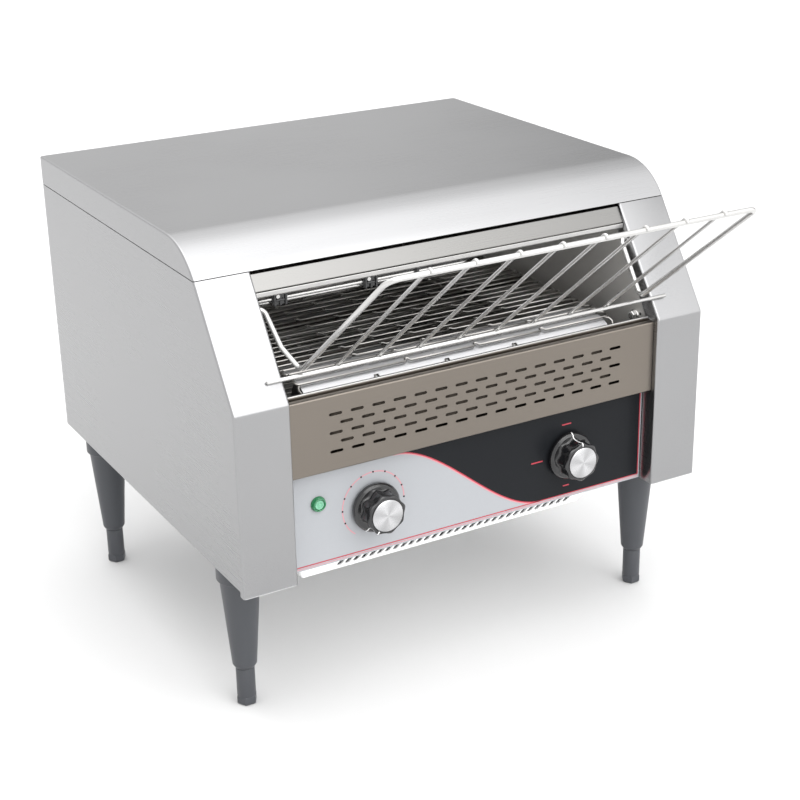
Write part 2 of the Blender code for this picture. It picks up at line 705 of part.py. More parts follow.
def loop_round(first, first_radius, second, second_radius, steps=12):
    """Outline of a band pulled tight round two wheels, as points in their plane."""
    dy = second[0] - first[0]
    dz = second[1] - first[1]
    heading = math.atan2(dz, dy)
    spread = math.acos((first_radius - second_radius) / math.hypot(dy, dz))
    far = arc(second, second_radius, heading - spread, heading + spread, steps)
    near = arc(first, first_radius, heading + spread, heading + 2 * math.pi - spread, steps)
    return far + near


def conveyor_belt():
    """The wire belt's envelope as one closed band round both shafts."""
    nose = (NOSE_Y, SHAFT_Z)
    drive = (DRIVE_Y, SHAFT_Z)
    inner = BELT_RADIUS - BELT_THICKNESS
    loops = [loop_round(nose, BELT_RADIUS, drive, BELT_RADIUS),
             loop_round(nose, inner, drive, inner)]
    flat_shape("conveyor_belt", loops, YZ_PLANE, 0, 2 * BELT_HALF_WIDTH, BELT)


def gear_outline(teeth, root, tip):
    """Sprocket outline: four points a tooth."""
    points = []
    for tooth in range(teeth):
        for part, radius in ((0.0, root), (0.3, root), (0.5, tip), (0.8, tip)):
            angle = 2 * math.pi * (tooth + part) / teeth
            points.append((radius * math.cos(angle), radius * math.sin(angle)))
    return points


def sprocket(name, x, centre, teeth, root, tip, width, mat):
    """A toothed wheel on a shaft along X, with its origin on the shaft's axis."""
    loops = [gear_outline(teeth, root, tip), circle(0, 0, SHAFT_RADIUS + GAP, 20)]
    wheel = flat_shape(name, loops, YZ_PLANE, x, width, mat)
    wheel.location = (x, *centre)
    return wheel


def nose_guide():
    """Bright fixed sheet that the belt slides over as it turns round the nose."""
    radius = NOSE_RADIUS
    front = arc((NOSE_Y, SHAFT_Z), radius, math.pi / 2, 3 * math.pi / 2, 16)
    profile = [(NOSE_TOP_END, SHAFT_Z + radius), *front, (NOSE_LOW_END, SHAFT_Z - radius)]
    bent_sheet("nose_guide", profile, NOSE_HALF, THIN_SHEET, (0, 0, 1), STEEL)


def nose_disc(name, x):
    """Disc on the cross rod that stiffens the nose guide near its end."""
    rim = NOSE_RADIUS - THIN_SHEET - GAP
    bore = SHAFT_RADIUS + GAP
    half = NOSE_DISC_WIDTH / 2
    profile = [(bore, half), (rim, half), (rim, -half), (bore, -half)]
    turned(name, profile, (x, NOSE_Y, SHAFT_Z), ALONG_X, DARK_STEEL, 28)


def shaft(name, y, left, right):
    """A round shaft along X with chamfered ends."""
    length = right - left
    edge = MM
    profile = [(0, length), (SHAFT_RADIUS - edge, length), (SHAFT_RADIUS, length - edge),
               (SHAFT_RADIUS, edge), (SHAFT_RADIUS - edge, 0), (0, 0)]
    return turned(name, profile, (left, y, SHAFT_Z), ALONG_X, DARK_STEEL, 20)


def bearing(name, side):
    """Flanged bronze bush in the chamber wall; its collar is on the outer side."""
    bore = SHAFT_RADIUS + GAP
    collar = BUSH_RADIUS + 3 * MM
    outer_end = 4 * MM
    inner_end = -3 * MM
    profile = [(bore, outer_end), (collar, outer_end), (collar, PANEL_SHEET + GAP),
               (BUSH_RADIUS, PANEL_SHEET + GAP), (BUSH_RADIUS, inner_end),
               (bore, inner_end)]
    turn = ALONG_X if side > 0 else (0, -math.pi / 2, 0)
    turned(name, profile, (side * CHEEK_X, DRIVE_Y, SHAFT_Z), turn, BRASS, 20)


def chain_radius(teeth):
    return CHAIN_PITCH / (2 * math.sin(math.pi / teeth))


def chain_drive():
    """Motor and driven sprockets with their chain, all in one plane."""
    motor = (MOTOR_Y, MOTOR_Z)
    driven = (DRIVE_Y, SHAFT_Z)
    tooth = 1.4 * MM
    small = chain_radius(MOTOR_TEETH)
    large = chain_radius(DRIVEN_TEETH)
    sprocket("motor_sprocket", CHAIN_X, motor, MOTOR_TEETH, small - 2 * tooth,
             small - tooth, CHAIN_WIDTH, DARK_STEEL)
    sprocket("driven_sprocket", CHAIN_X, driven, DRIVEN_TEETH, large - 2 * tooth,
             large - tooth, CHAIN_WIDTH, DARK_STEEL)
    inside = GAP - tooth
    outside = inside + 3.6 * MM
    loops = [loop_round(driven, large + outside, motor, small + outside),
             loop_round(driven, large + inside, motor, small + inside)]
    flat_shape("drive_chain", loops, YZ_PLANE, CHAIN_X, CHAIN_WIDTH, DARK_STEEL)


def gear_motor():
    """Shaded-pole gear motor lying along X, its output spindle towards the chain."""
    low = (MOTOR_FACE - GEARBOX_DEPTH, MOTOR_Y - GEARBOX_HALF_Y, MOTOR_Z - GEARBOX_HALF_Z)
    high = (MOTOR_FACE, MOTOR_Y + GEARBOX_HALF_Y, MOTOR_Z + GEARBOX_HALF_Z)
    body = block("gear_motor", low, high, MOTOR_PAINT)
    can = cylinder("motor_can", (MOTOR_FACE - MOTOR_CAN_LENGTH, MOTOR_Y, MOTOR_Z),
                   MOTOR_CAN_RADIUS, MOTOR_CAN_LENGTH, ALONG_X, MOTOR_PAINT, CUTTERS, 28)
    start = MOTOR_FACE - 2 * MM
    end = CHAIN_X + CHAIN_WIDTH
    spindle = cylinder("motor_spindle", ((start + end) / 2, MOTOR_Y, MOTOR_Z),
                       SHAFT_RADIUS, end - start, ALONG_X, DARK_STEEL, CUTTERS, 20)
    join(body, can)
    join(body, spindle)


def motor_bracket():
    """Upright bracket that bolts the motor's gearbox to the base."""
    margin = 4 * MM
    half = GEARBOX_HALF_Y + margin
    low = BASE_Z + PANEL_SHEET + GAP
    loops = [rectangle(MOTOR_Y - half, MOTOR_Y + half, low, MOTOR_Z + GEARBOX_HALF_Z + margin),
             circle(MOTOR_Y, MOTOR_Z, SHAFT_RADIUS + 2 * MM, 20)]
    flat_shape("motor_bracket", loops, YZ_PLANE, MOTOR_FACE + GAP + BRACKET_SHEET / 2,
               BRACKET_SHEET, GALVANISED)


def heater(name, y, z):
    """Straight sheathed element with ceramic-capped ends and terminal pins."""
    half = HEATER_HALF
    tip = HEATER_HALF + HEATER_PIN_LENGTH
    profile = [(0, tip), (HEATER_PIN, tip), (HEATER_PIN, half), (HEATER_RADIUS, half - MM),
               (HEATER_RADIUS, MM - half), (HEATER_PIN, -half), (HEATER_PIN, -tip), (0, -tip)]
    turned(name, profile, (0, y, z), ALONG_X, SHEATH, 12)


def sensor():
    """Thermostat bulb clipped under the lintel, with its two clamps."""
    y = BULB_Y
    z = BULB_Z
    wire("sensor_bulb", [(BULB_LEFT, y, z), (BULB_LEFT + 8 * MM, y, z),
                         (BULB_RIGHT - 9 * MM, y, z), (BULB_RIGHT - 2 * MM, y + 2 * MM, z),
                         (BULB_RIGHT, y + 6 * MM, z)], BULB_RADIUS, SHEATH)
    for label, x in CLAMP_XS.items():
        clamp = block("sensor_clamp_" + label, (x - CLAMP_HALF, y - 4 * MM, z - 4 * MM),
                      (x + CLAMP_HALF, y + 4 * MM, z + CLAMP_HALF), DARK_STEEL)
        hole = cylinder("clamp_hole_" + label, (x, y, z), BULB_RADIUS + GAP, 4 * CLAMP_HALF,
                        ALONG_X, None, CUTTERS, 16)
        cut(clamp, hole)


def hanger_half():
    """Right half of the rack's frame wire, from hook end to the middle of its rail."""
    low = Vector((0, LOW_RAIL_Y, LOW_RAIL_Z + RAIL_WIRE + FRAME_WIRE - 0.5 * MM))
    slope = Vector((0, -math.cos(RACK_ANGLE), math.sin(RACK_ANGLE)))
    top = low + slope * RACK_LENGTH
    points = [(HOOK_END_X, HOOK_Y, HOOK_Z), (CHEEK_X - 1.5 * MM, HOOK_Y, HOOK_Z),
              (CHEEK_X - 4 * MM, HOOK_Y - 1.5 * MM, HOOK_Z - 1.5 * MM),
              (CHEEK_X - 5.5 * MM, HOOK_Y - 5 * MM, HOOK_Z - 6 * MM),
              (158 * MM, 28 * MM, 302 * MM), (154.5 * MM, 18 * MM, 291.5 * MM)]
    for share in (0.0, 0.04):
        place = low + slope * RACK_LENGTH * share
        points.append((RACK_HALF, place.y, place.z))
    corner = 9 * MM
    for angle in (0, 30, 60, 90):
        turn = math.radians(angle)
        place = top - slope * corner * (1 - math.sin(turn))
        points.append((RACK_HALF - corner * (1 - math.cos(turn)), place.y, place.z))
    return [Vector(point) for point in points]


def rack_frame_points():
    right = hanger_half()
    left = [Vector((-p.x, p.y, p.z)) for p in reversed(right)]
    return right + left


def inner_wire_points(x):
    """One bread wire: over the lower rail, up the slope and curled round the top rail."""
    slope = Vector((0, -math.cos(RACK_ANGLE), math.sin(RACK_ANGLE)))
    normal = Vector((0, math.sin(RACK_ANGLE), math.cos(RACK_ANGLE)))
    frame = Vector((x, LOW_RAIL_Y, LOW_RAIL_Z + RAIL_WIRE + FRAME_WIRE - 0.5 * MM))
    lift = FRAME_WIRE + INNER_WIRE - 0.4 * MM
    start = Vector((x, LOW_RAIL_Y, LOW_RAIL_Z)) + normal * (RAIL_WIRE + INNER_WIRE - 0.4 * MM)
    rail = frame + slope * RACK_LENGTH
    points = [start - slope * 5 * MM, start + slope * 5 * MM]
    for angle in (0, 40, 80, 120, 160):
        turn = math.radians(angle)
        points.append(rail + (normal * math.cos(turn) + slope * math.sin(turn)) * lift)
    return points


def loading_rack():
    """Bread rack of welded wire, hung by its hooks and resting on the columns."""
    rack = to_mesh(wire("loading_rack", rack_frame_points(), FRAME_WIRE, CHROME))
    rail = wire("low_rail", [(-LOW_RAIL_HALF, LOW_RAIL_Y, LOW_RAIL_Z),
                             (0, LOW_RAIL_Y, LOW_RAIL_Z),
                             (LOW_RAIL_HALF, LOW_RAIL_Y, LOW_RAIL_Z)],
                RAIL_WIRE, CHROME, CUTTERS)
    join(rack, to_mesh(rail, CUTTERS))
    for number in range(INNER_COUNT):
        x = (number - (INNER_COUNT - 1) / 2) * INNER_PITCH
        bread_wire = wire(f"bread_wire_{number + 1}", inner_wire_points(x), INNER_WIRE,
                          CHROME, CUTTERS)
        join(rack, to_mesh(bread_wire, CUTTERS))
    pivot_at(rack, (0, HOOK_Y, HOOK_Z))


def grip_outline(flutes=8, points_each=8):
    """Scalloped outline of a control knob's grip."""
    points = []
    total = flutes * points_each
    for i in range(total):
        angle = 2 * math.pi * i / total
        scallop = max(0.0, math.cos(flutes * angle)) * 1.5 * MM
        radius = GRIP_RADIUS - scallop
        points.append((radius * math.cos(angle), radius * math.sin(angle)))
    return points


def knob(name, x):
    """Bakelite knob with skirt, fluted grip and stem; a metal disc caps its face."""
    back = CONTROL_PANEL_Y - KNOB_STANDOFF
    front = back - KNOB_LENGTH
    stem_end = CONTROL_PANEL_Y + PANEL_SHEET + 12 * MM
    skirt_depth = 5 * MM
    profile = [(0, KNOB_LENGTH - 4 * MM), (GRIP_RADIUS - 3 * MM, KNOB_LENGTH - 4 * MM),
               (SKIRT_RADIUS - 2 * MM, skirt_depth), (SKIRT_RADIUS, skirt_depth - 2 * MM),
               (SKIRT_RADIUS, 0), (STEM_RADIUS, 0), (STEM_RADIUS, back - stem_end),
               (0, back - stem_end)]
    body = turned(name, profile, (x, back, KNOB_Z), TO_FRONT, BAKELITE, 30)
    grip_length = KNOB_LENGTH - skirt_depth + MM
    grip = flat_shape(name + "_grip", [grip_outline()], XZ_PLANE, 0, grip_length, BAKELITE,
                      CUTTERS)
    grip.location = (x, front + grip_length / 2, KNOB_Z)
    join(body, to_mesh(grip, CUTTERS))
    disc = [(0, 1.2 * MM), (CAP_RADIUS - 0.4 * MM, 1.2 * MM), (CAP_RADIUS, 0.8 * MM),
            (CAP_RADIUS, 0), (0, 0)]
    turned(name + "_cap", disc, (x, front - GAP, KNOB_Z), TO_FRONT, ALUMINIUM, 30)


def control_body(name, x, radius, depth, mat):
    """Regulator or switch behind the fascia, bored for the knob's stem."""
    bore = STEM_RADIUS + GAP
    bore_depth = 14 * MM
    neck = 5 * MM
    shoulder = 2 * MM
    profile = [(0, -bore_depth), (bore, -bore_depth), (bore, 0), (neck, 0),
               (neck, -shoulder), (radius, -shoulder), (radius, -depth), (0, -depth)]
    turned(name, profile, (x, CONTROL_PANEL_Y + PANEL_SHEET + GAP, KNOB_Z), TO_FRONT, mat)


def indicator_lamp():
    """Green pilot lamp: domed lens, bezel and barrel through the fascia."""
    lens = LAMP_RADIUS - MM
    profile = [(0, 3.6 * MM), (lens * 0.6, 3.1 * MM), (lens, 1.8 * MM),
               (LAMP_RADIUS + 0.6 * MM, 1.2 * MM), (LAMP_RADIUS + 0.6 * MM, GAP),
               (lens - GAP, GAP), (lens - GAP, -22 * MM), (0, -22 * MM)]
    turned("indicator_lamp", profile, (LAMP_X, CONTROL_PANEL_Y, LAMP_Z), TO_FRONT, GREEN, 24)


def cable_gland():
    """Strain-relief gland in the back wall; no lead is fitted."""
    thread = GLAND_THREAD - GAP
    bore = 4 * MM
    nut = 11 * MM
    reach = 12 * MM
    profile = [(bore, reach), (nut - 2 * MM, reach), (nut, reach - 2 * MM), (nut, GAP),
               (thread, GAP), (thread, -reach), (bore, -reach)]
    turned("cable_gland", profile, (GLAND_X, BODY_DEPTH, GLAND_Z), TO_BACK, BAKELITE, 20)


def terminal_block():
    """Supply terminals on the base beside the gland."""
    low = BASE_Z + PANEL_SHEET + GAP
    block("terminal_block", (TERMINAL_X[0], TERMINAL_Y[0], low),
          (TERMINAL_X[1], TERMINAL_Y[1], low + TERMINAL_HEIGHT), WHITE_SHEET)


def leg(name, x, y):
    """Tapered round leg with a rim at its top and a bore for the foot's stud."""
    bore = STUD_RADIUS + 0.4 * MM
    rim_end = LEG_TOP - LEG_RIM_HEIGHT
    profile = [(0, LEG_TOP), (LEG_RIM_RADIUS, LEG_TOP), (LEG_RIM_RADIUS, rim_end),
               (LEG_TOP_RADIUS, rim_end - MM), (LEG_LOW_RADIUS, LEG_BOTTOM + 3 * MM),
               (LEG_END_RADIUS, LEG_BOTTOM), (bore, LEG_BOTTOM), (bore, LEG_BORE_TOP),
               (0, LEG_BORE_TOP)]
    turned(name, profile, (x, y, 0), (0, 0, 0), LEG_PLASTIC, 28)


def foot(name, x, y):
    """Levelling foot: stud in the leg, round sleeve and hexagon at the floor."""
    top = LEG_BOTTOM - GAP
    middle = FOOT_HEX_HEIGHT / 2
    profile = [(0, STUD_TOP), (STUD_RADIUS, STUD_TOP), (STUD_RADIUS, top),
               (SLEEVE_RADIUS, top), (SLEEVE_RADIUS, middle), (0, middle)]
    body = turned(name, profile, (x, y, 0), (0, 0, 0), LEG_PLASTIC, 24)
    hexagon = cylinder(name + "_hexagon", (x, y, middle), FOOT_HEX_RADIUS, FOOT_HEX_HEIGHT,
                       (0, 0, 0), LEG_PLASTIC, CUTTERS, 6)
    join(body, hexagon)


def housing():
    side_panel("left_side_panel", -1)
    side_panel("right_side_panel", 1)
    top_cover()
    lintel()
    perforated_baffle()
    heat_shield()
    control_panel()
    base_plate()
    belly_pan()
    rear_panel()
    chamber_wall("left_chamber_wall", -1)
    chamber_wall("right_chamber_wall", 1)
    ceiling_reflector()
    chamber_floor()
    toast_slide()


def conveyor():
    conveyor_belt()
    wall_end = CHEEK_X + 6 * MM
    shaft("drive_shaft", DRIVE_Y, -wall_end, CHAIN_X + 8 * MM)
    shaft("nose_rod", NOSE_Y, -wall_end, wall_end)
    nose_guide()
    for label, side in (("left", -1), ("right", 1)):
        nose_disc(f"nose_disc_{label}", side * NOSE_DISC_X)
        sprocket(f"drive_sprocket_{label}", side * SPROCKET_X, (DRIVE_Y, SHAFT_Z),
                 BELT_TEETH, SPROCKET_TIP - TOOTH_HEIGHT, SPROCKET_TIP, SPROCKET_WIDTH,
                 DARK_STEEL)
        bearing(f"drive_bearing_{label}", side)
    chain_drive()
    gear_motor()
    motor_bracket()


def heating():
    for number, y in enumerate(HEATER_YS, start=1):
        heater(f"upper_heater_{number}", y, UPPER_HEATER_Z)
        heater(f"lower_heater_{number}", y, LOWER_HEATER_Z)
    sensor()


def controls():
    knob("speed_knob", -KNOB_X)
    knob("switch_knob", KNOB_X)
    control_body("speed_regulator", -KNOB_X, 14 * MM, 24 * MM, GALVANISED)
    control_body("rotary_switch", KNOB_X, 17 * MM, 34 * MM, BAKELITE)
    indicator_lamp()
    cable_gland()
    terminal_block()


def supports():
    for end, y in (("front", FRONT_LEG_Y), ("back", BACK_LEG_Y)):
        for label, side in (("left", -1), ("right", 1)):
            leg(f"leg_{end}_{label}", side * LEG_X, y)
            foot(f"foot_{end}_{label}", side * LEG_X, y)


housing()
conveyor()
heating()
controls()
supports()
crumb_tray()
loading_rack()
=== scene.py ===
"""Looks of the countertop conveyor toaster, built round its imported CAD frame.

Metres. Pieces are drawn in the body frame: X to the right, Y back from the columns' vertical
front face, Z up from the floor. FRONT is where that face sits in the row frame.
"""
import math
import bmesh
import bpy
from mathutils import Matrix, Vector


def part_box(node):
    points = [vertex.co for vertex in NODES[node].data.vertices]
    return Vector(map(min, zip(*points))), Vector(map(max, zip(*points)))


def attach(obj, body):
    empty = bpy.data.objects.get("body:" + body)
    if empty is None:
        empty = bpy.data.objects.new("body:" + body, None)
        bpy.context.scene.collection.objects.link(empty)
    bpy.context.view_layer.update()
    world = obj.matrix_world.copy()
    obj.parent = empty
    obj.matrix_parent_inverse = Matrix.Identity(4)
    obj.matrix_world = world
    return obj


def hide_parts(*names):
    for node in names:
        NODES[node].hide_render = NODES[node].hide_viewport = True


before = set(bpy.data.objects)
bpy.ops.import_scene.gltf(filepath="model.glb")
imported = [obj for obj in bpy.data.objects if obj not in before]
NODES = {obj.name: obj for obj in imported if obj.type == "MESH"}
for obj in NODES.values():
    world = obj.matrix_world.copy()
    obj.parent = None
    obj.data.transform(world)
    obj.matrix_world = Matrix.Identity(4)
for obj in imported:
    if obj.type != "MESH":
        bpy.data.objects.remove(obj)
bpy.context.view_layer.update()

MM = 0.001
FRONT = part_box("left_side_panel")[0].y


def span(node):
    """Lowest and highest corner of a CAD node, in the body frame."""
    low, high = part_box(node)
    shift = Vector((0, FRONT, 0))
    return low - shift, high - shift


# Sizes taken from the frame
SIDE_LOW, SIDE_HIGH = span("right_side_panel")
COVER_LOW, COVER_HIGH = span("top_cover")
PANEL_LOW, PANEL_HIGH = span("control_panel")
BELT_LOW, BELT_HIGH = span("conveyor_belt")
HALF = SIDE_HIGH.x
DEPTH = SIDE_HIGH.y
BOTTOM = SIDE_LOW.z
SLANT_TOP = Vector((COVER_LOW.y, COVER_LOW.z))
COVER_TOP = COVER_HIGH.z

# Sizes of the sheet metal
SHEET = 1.2 * MM
THIN = 1.0 * MM
GAP = 0.3 * MM
BEND_Z = 266.3 * MM            # where the columns start to lean back
BEND = Vector((0, BEND_Z))
COLUMN = 44.5 * MM
CHEEK_DEPTH = 16.5 * MM
CHEEK_X = HALF - COLUMN
SIDE_STEP = 3 * MM
FOLD = 1.8 * MM                # outer radius of the folds
SLANT = (SLANT_TOP - BEND).normalized()
SLANT_OUT = Vector((-SLANT.y, SLANT.x))

# Conveyor
BELT_HALF = BELT_HIGH.x
BELT_RADIUS = (BELT_HIGH.z - BELT_LOW.z) / 2
SHAFT_Z = BELT_HIGH.z - BELT_RADIUS
NOSE_Y = BELT_LOW.y + BELT_RADIUS
DRIVE_Y = BELT_HIGH.y - BELT_RADIUS
STRAND_RADIUS = 0.95 * MM
STRAND_COUNT = 76

# Loading rack
FRAME_WIRE = 2.0 * MM
RAIL_WIRE = 1.5 * MM
BREAD_WIRE = 1.4 * MM
FRAME_WELD = 0.5 * MM          # how far welded wires sink into each other
RAIL_WELD = 0.4 * MM
LOOP_WELD = 1.1 * MM
RACK_HALF = 151 * MM
RACK_ANGLE = math.radians(38.4)
RACK_LENGTH = 167 * MM
LOW_RAIL_ALONG = 18.5 * MM
BREAD_WIRES = 8
BREAD_PITCH = 34.3 * MM
HOOK = Vector((171 * MM, 47 * MM, 324 * MM))

# Controls
PANEL_Y = PANEL_LOW.y
KNOB_Z = sum(corner.z for corner in span("speed_knob")) / 2
KNOB_X = 90 * MM
SKIRT = (span("speed_knob")[1].x - span("speed_knob")[0].x) / 2
KNOB_SCALE = SKIRT / (18 * MM)
KNOB_BACK = PANEL_Y - 2 * MM
DIAL_RADIUS = 26.8 * MM

TO_FRONT = Matrix.Rotation(math.pi / 2, 4, 'X')     # local Z to -Y, local Y to +Z
TO_BACK = Matrix.Rotation(-math.pi / 2, 4, 'X')
TO_RIGHT = Matrix.Rotation(math.pi / 2, 4, 'Y')
TO_LEFT = Matrix.Rotation(-math.pi / 2, 4, 'Y')

MIDDLE_HALF = (0.25, 0.75)     # the part of a noise's range that most of it lies in


# ---------------------------------------------------------------- materials

def feed(tree, node, values):
    """Set a node's first inputs to numbers or link them to sockets; gives its first output."""
    for socket, value in zip(node.inputs, values):
        if isinstance(value, bpy.types.NodeSocket):
            tree.links.new(value, socket)
        else:
            socket.default_value = value
    return node.outputs[0]


def calculate(tree, operation, *values):
    node = tree.nodes.new('ShaderNodeMath')
    node.operation = operation
    return feed(tree, node, values)


def map_range(tree, *values, kind='LINEAR'):
    """Map a value between ranges: value, start, end, first, last."""
    node = tree.nodes.new('ShaderNodeMapRange')
    node.interpolation_type = kind
    return feed(tree, node, values)


def finish(name, slot, colour, roughness, metallic=0.0, **sockets):
    """A Principled material; sockets are further constants by socket name."""
    mat = bpy.data.materials.new(name)
    mat.use_nodes = True
    mat["slot"] = slot
    shader = mat.node_tree.nodes["Principled BSDF"]
    shader.inputs["Base Color"].default_value = (*colour, 1)
    shader.inputs["Roughness"].default_value = roughness
    shader.inputs["Metallic"].default_value = metallic
    for socket, value in sockets.items():
        shader.inputs[socket.replace("_", " ")].default_value = value
    mat.diffuse_color = (*colour, 1)
    return mat


def noise(tree, scale, detail):
    """Noise in object coordinates, its frequency given along each axis."""
    place = tree.nodes.new('ShaderNodeTexCoord')
    mapping = tree.nodes.new('ShaderNodeMapping')
    mapping.inputs["Scale"].default_value = scale
    tree.links.new(place.outputs["Object"], mapping.inputs["Vector"])
    node = tree.nodes.new('ShaderNodeTexNoise')
    node.inputs["Scale"].default_value = 1.0
    node.inputs["Detail"].default_value = detail
    node.inputs["Roughness"].default_value = 0.6
    tree.links.new(mapping.outputs["Vector"], node.inputs["Vector"])
    return node.outputs["Fac"]


def ramp(tree, factor, stops):
    """Colours along a factor; stops are (position, colour)."""
    node = tree.nodes.new('ShaderNodeValToRGB')
    for element, (position, colour) in zip(node.color_ramp.elements, stops):
        element.position = position
        element.color = (*colour, 1)
    tree.links.new(factor, node.inputs["Fac"])
    return node.outputs["Color"]


def shade(colour, factor):
    return tuple(min(1.0, channel * factor) for channel in colour)


def surface(tree, colour, roughness, height, strength, distance):
    """Link a finish's colour, roughness and bump to its shader."""
    shader = tree.nodes["Principled BSDF"]
    bump = tree.nodes.new('ShaderNodeBump')
    bump.inputs["Strength"].default_value = strength
    bump.inputs["Distance"].default_value = distance
    tree.links.new(height, bump.inputs["Height"])
    tree.links.new(colour, shader.inputs["Base Color"])
    tree.links.new(roughness, shader.inputs["Roughness"])
    tree.links.new(bump.outputs["Normal"], shader.inputs["Normal"])


def textured(mat, colour, scale, spread, gloss, relief, cloud=(6, 6, 6)):
    """Give a finish its grain: fine streaks or specks in colour, gloss and relief.

    scale is the grain's frequency along each axis, spread how far the colour wanders,
    gloss the range of roughness, relief (strength, height) of the bump and cloud the
    frequency of the slow mottling that every real surface has.
    """
    tree = mat.node_tree
    grain = noise(tree, scale, 3.0)
    mottling = calculate(tree, 'MULTIPLY', noise(tree, cloud, 2.0), 0.5)
    both = calculate(tree, 'MULTIPLY_ADD', grain, 0.5, mottling)
    stops = [(0.3, shade(colour, 1 - spread)), (0.7, shade(colour, 1 + spread))]
    surface(tree, ramp(tree, both, stops), map_range(tree, both, *MIDDLE_HALF, *gloss), grain,
            *relief)
    return mat


def brushed(name, colour, direction, gloss=(0.24, 0.34), spread=0.035, metallic=1.0,
            slot="brushed_stainless"):
    """Brushed steel whose grain runs along direction ('X', 'Y' or 'Z')."""
    fine = 2600.0
    along = 14.0
    scale = [fine if axis != direction else along for axis in "XYZ"]
    mat = finish(name, slot, colour, sum(gloss) / 2, metallic)
    return textured(mat, colour, scale, spread, gloss, (0.05, 0.00003))


STEEL = (0.345, 0.345, 0.35)
STEEL_SIDE = brushed("side_steel", STEEL, 'Y')
STEEL_TOP = brushed("cover_steel", STEEL, 'X')
# Two copies of the same brushed stainless: one painted darker as shade, for the lintel, toast
# slide and crumb tray, and one painted lighter as a highlight, for the lintel's lip and the
# shield's top fold.
STEEL_SHADED = brushed("painted_shade_steel", (0.215, 0.212, 0.206), 'X')
STEEL_LIT = brushed("painted_highlight_steel", (0.55, 0.545, 0.535), 'X')
BURNT_STEEL = brushed("burnt_steel", (0.14, 0.12, 0.1), 'X', (0.35, 0.5), 0.2)
NOSE_STEEL = brushed("nose_steel", (0.5, 0.5, 0.51), 'X', (0.35, 0.5), 0.04, 0.6)
BAFFLE_STEEL = brushed("baffle_steel", (0.205, 0.182, 0.158), 'X', (0.3, 0.4), 0.05,
                       slot="tinted_stainless")
LINER = brushed("liner_steel", (0.58, 0.565, 0.545), 'Y', (0.4, 0.55), 0.06, 0.5,
                slot="chamber_liner")


def grained(name, slot, colour, grain, spread, gloss, relief, roughness, metallic=0.0,
            cloud=6, **sockets):
    """A finish of one colour with an even grain; roughness is the middle of its gloss."""
    mat = finish(name, slot, colour, roughness, metallic, **sockets)
    return textured(mat, colour, (grain,) * 3, spread, gloss, relief, (cloud,) * 3)


# A near-black copy of the galvanised sheet, for the chamber floor.
DARK_GALVANISED = grained("darkened_galvanised", "galvanised_sheet", (0.05, 0.047, 0.042), 60, 0.3,
                 (0.4, 0.6), (0.1, 0.0001), 0.5, 0.6)
GALVANISED = grained("galvanised", "galvanised_sheet", (0.5, 0.51, 0.52), 90, 0.16,
                     (0.35, 0.6), (0.1, 0.0001), 0.5, 1.0)
WHITE = grained("pan_paint", "white_sheet", (0.93, 0.93, 0.93), 900, 0.015, (0.3, 0.42),
                (0.12, 0.00005), 0.35)
CERAMIC = grained("ceramic", "ceramic", (0.75, 0.72, 0.66), 500, 0.05, (0.4, 0.6),
                  (0.2, 0.0001), 0.5)
PRINT_LIGHT = grained("print_silver", "fascia_print", (0.34, 0.35, 0.368), 700, 0.02,
                      (0.3, 0.4), (0.08, 0.00003), 0.35, cloud=9)
PRINT_DARK = grained("print_charcoal", "fascia_print", (0.011, 0.012, 0.014), 700, 0.1,
                     (0.26, 0.36), (0.08, 0.00003), 0.3, cloud=9, Specular_IOR_Level=0.12)
PRINT_RED = grained("print_red", "fascia_print", (0.42, 0.03, 0.05), 900, 0.08, (0.3, 0.4),
                    (0.05, 0.00002), 0.35)
PRINT_PINK = grained("print_pink", "fascia_print", (0.6, 0.25, 0.28), 900, 0.06, (0.3, 0.4),
                     (0.05, 0.00002), 0.35)
PRINT_WHITE = grained("print_white", "fascia_print", (0.85, 0.85, 0.85), 900, 0.03,
                      (0.3, 0.5), (0.05, 0.00002), 0.4)
CHROME = grained("chromed_wire", "chromed_wire", (0.6, 0.595, 0.585), 120, 0.06, (0.12, 0.2),
                 (0.03, 0.00003), 0.2, 0.8)
BELT = grained("belt_wire", "belt_wire", (0.36, 0.35, 0.335), 260, 0.1, (0.24, 0.4),
               (0.08, 0.00005), 0.3, 1.0)
BAKELITE = grained("bakelite", "bakelite", (0.008, 0.008, 0.009), 420, 0.15, (0.12, 0.2),
                   (0.02, 0.00003), 0.16, Coat_Weight=0.5, Coat_Roughness=0.06)
LEG_PLASTIC = grained("leg_plastic", "leg_plastic", (0.05, 0.053, 0.06), 1500, 0.08,
                      (0.36, 0.5), (0.2, 0.00008), 0.4)
DARK_STEEL = grained("dark_steel", "dark_steel", (0.1, 0.1, 0.105), 500, 0.2, (0.28, 0.45),
                     (0.1, 0.00005), 0.35, 1.0)
SHEATH_COLOUR = (0.11, 0.1, 0.09)
SHEATH = textured(finish("heater_sheath", "heater_sheath", SHEATH_COLOUR, 0.5, 0.9),
                  SHEATH_COLOUR, (160, 900, 900), 0.3, (0.4, 0.6), (0.15, 0.00005))
BRONZE = grained("bronze", "sintered_bronze", (0.42, 0.27, 0.12), 900, 0.18, (0.32, 0.5),
                 (0.25, 0.00008), 0.4, 1.0)
MOTOR_PAINT = grained("motor_paint", "motor_paint", (0.05, 0.055, 0.065), 600, 0.12,
                      (0.35, 0.5), (0.2, 0.0001), 0.45)
LENS = grained("green_lens", "green_lens", (0.01, 0.16, 0.055), 300, 0.25, (0.1, 0.2),
               (0.05, 0.00004), 0.14, Coat_Weight=0.6, Coat_Roughness=0.05)
LENS_PALE = grained("pale_lens", "green_lens", (0.16, 0.42, 0.27), 900, 0.4, (0.1, 0.2),
                    (0.05, 0.00004), 0.16, Coat_Weight=0.5, Coat_Roughness=0.08)
# Near-black for the chamber walls' holes: painted shade on thin discs, not a cut.
HOLE_SHADE = grained("painted_hole_shade", "dark_steel", (0.012, 0.012, 0.012), 300, 0.2, (0.7, 0.9),
                     (0.1, 0.00005), 0.8)


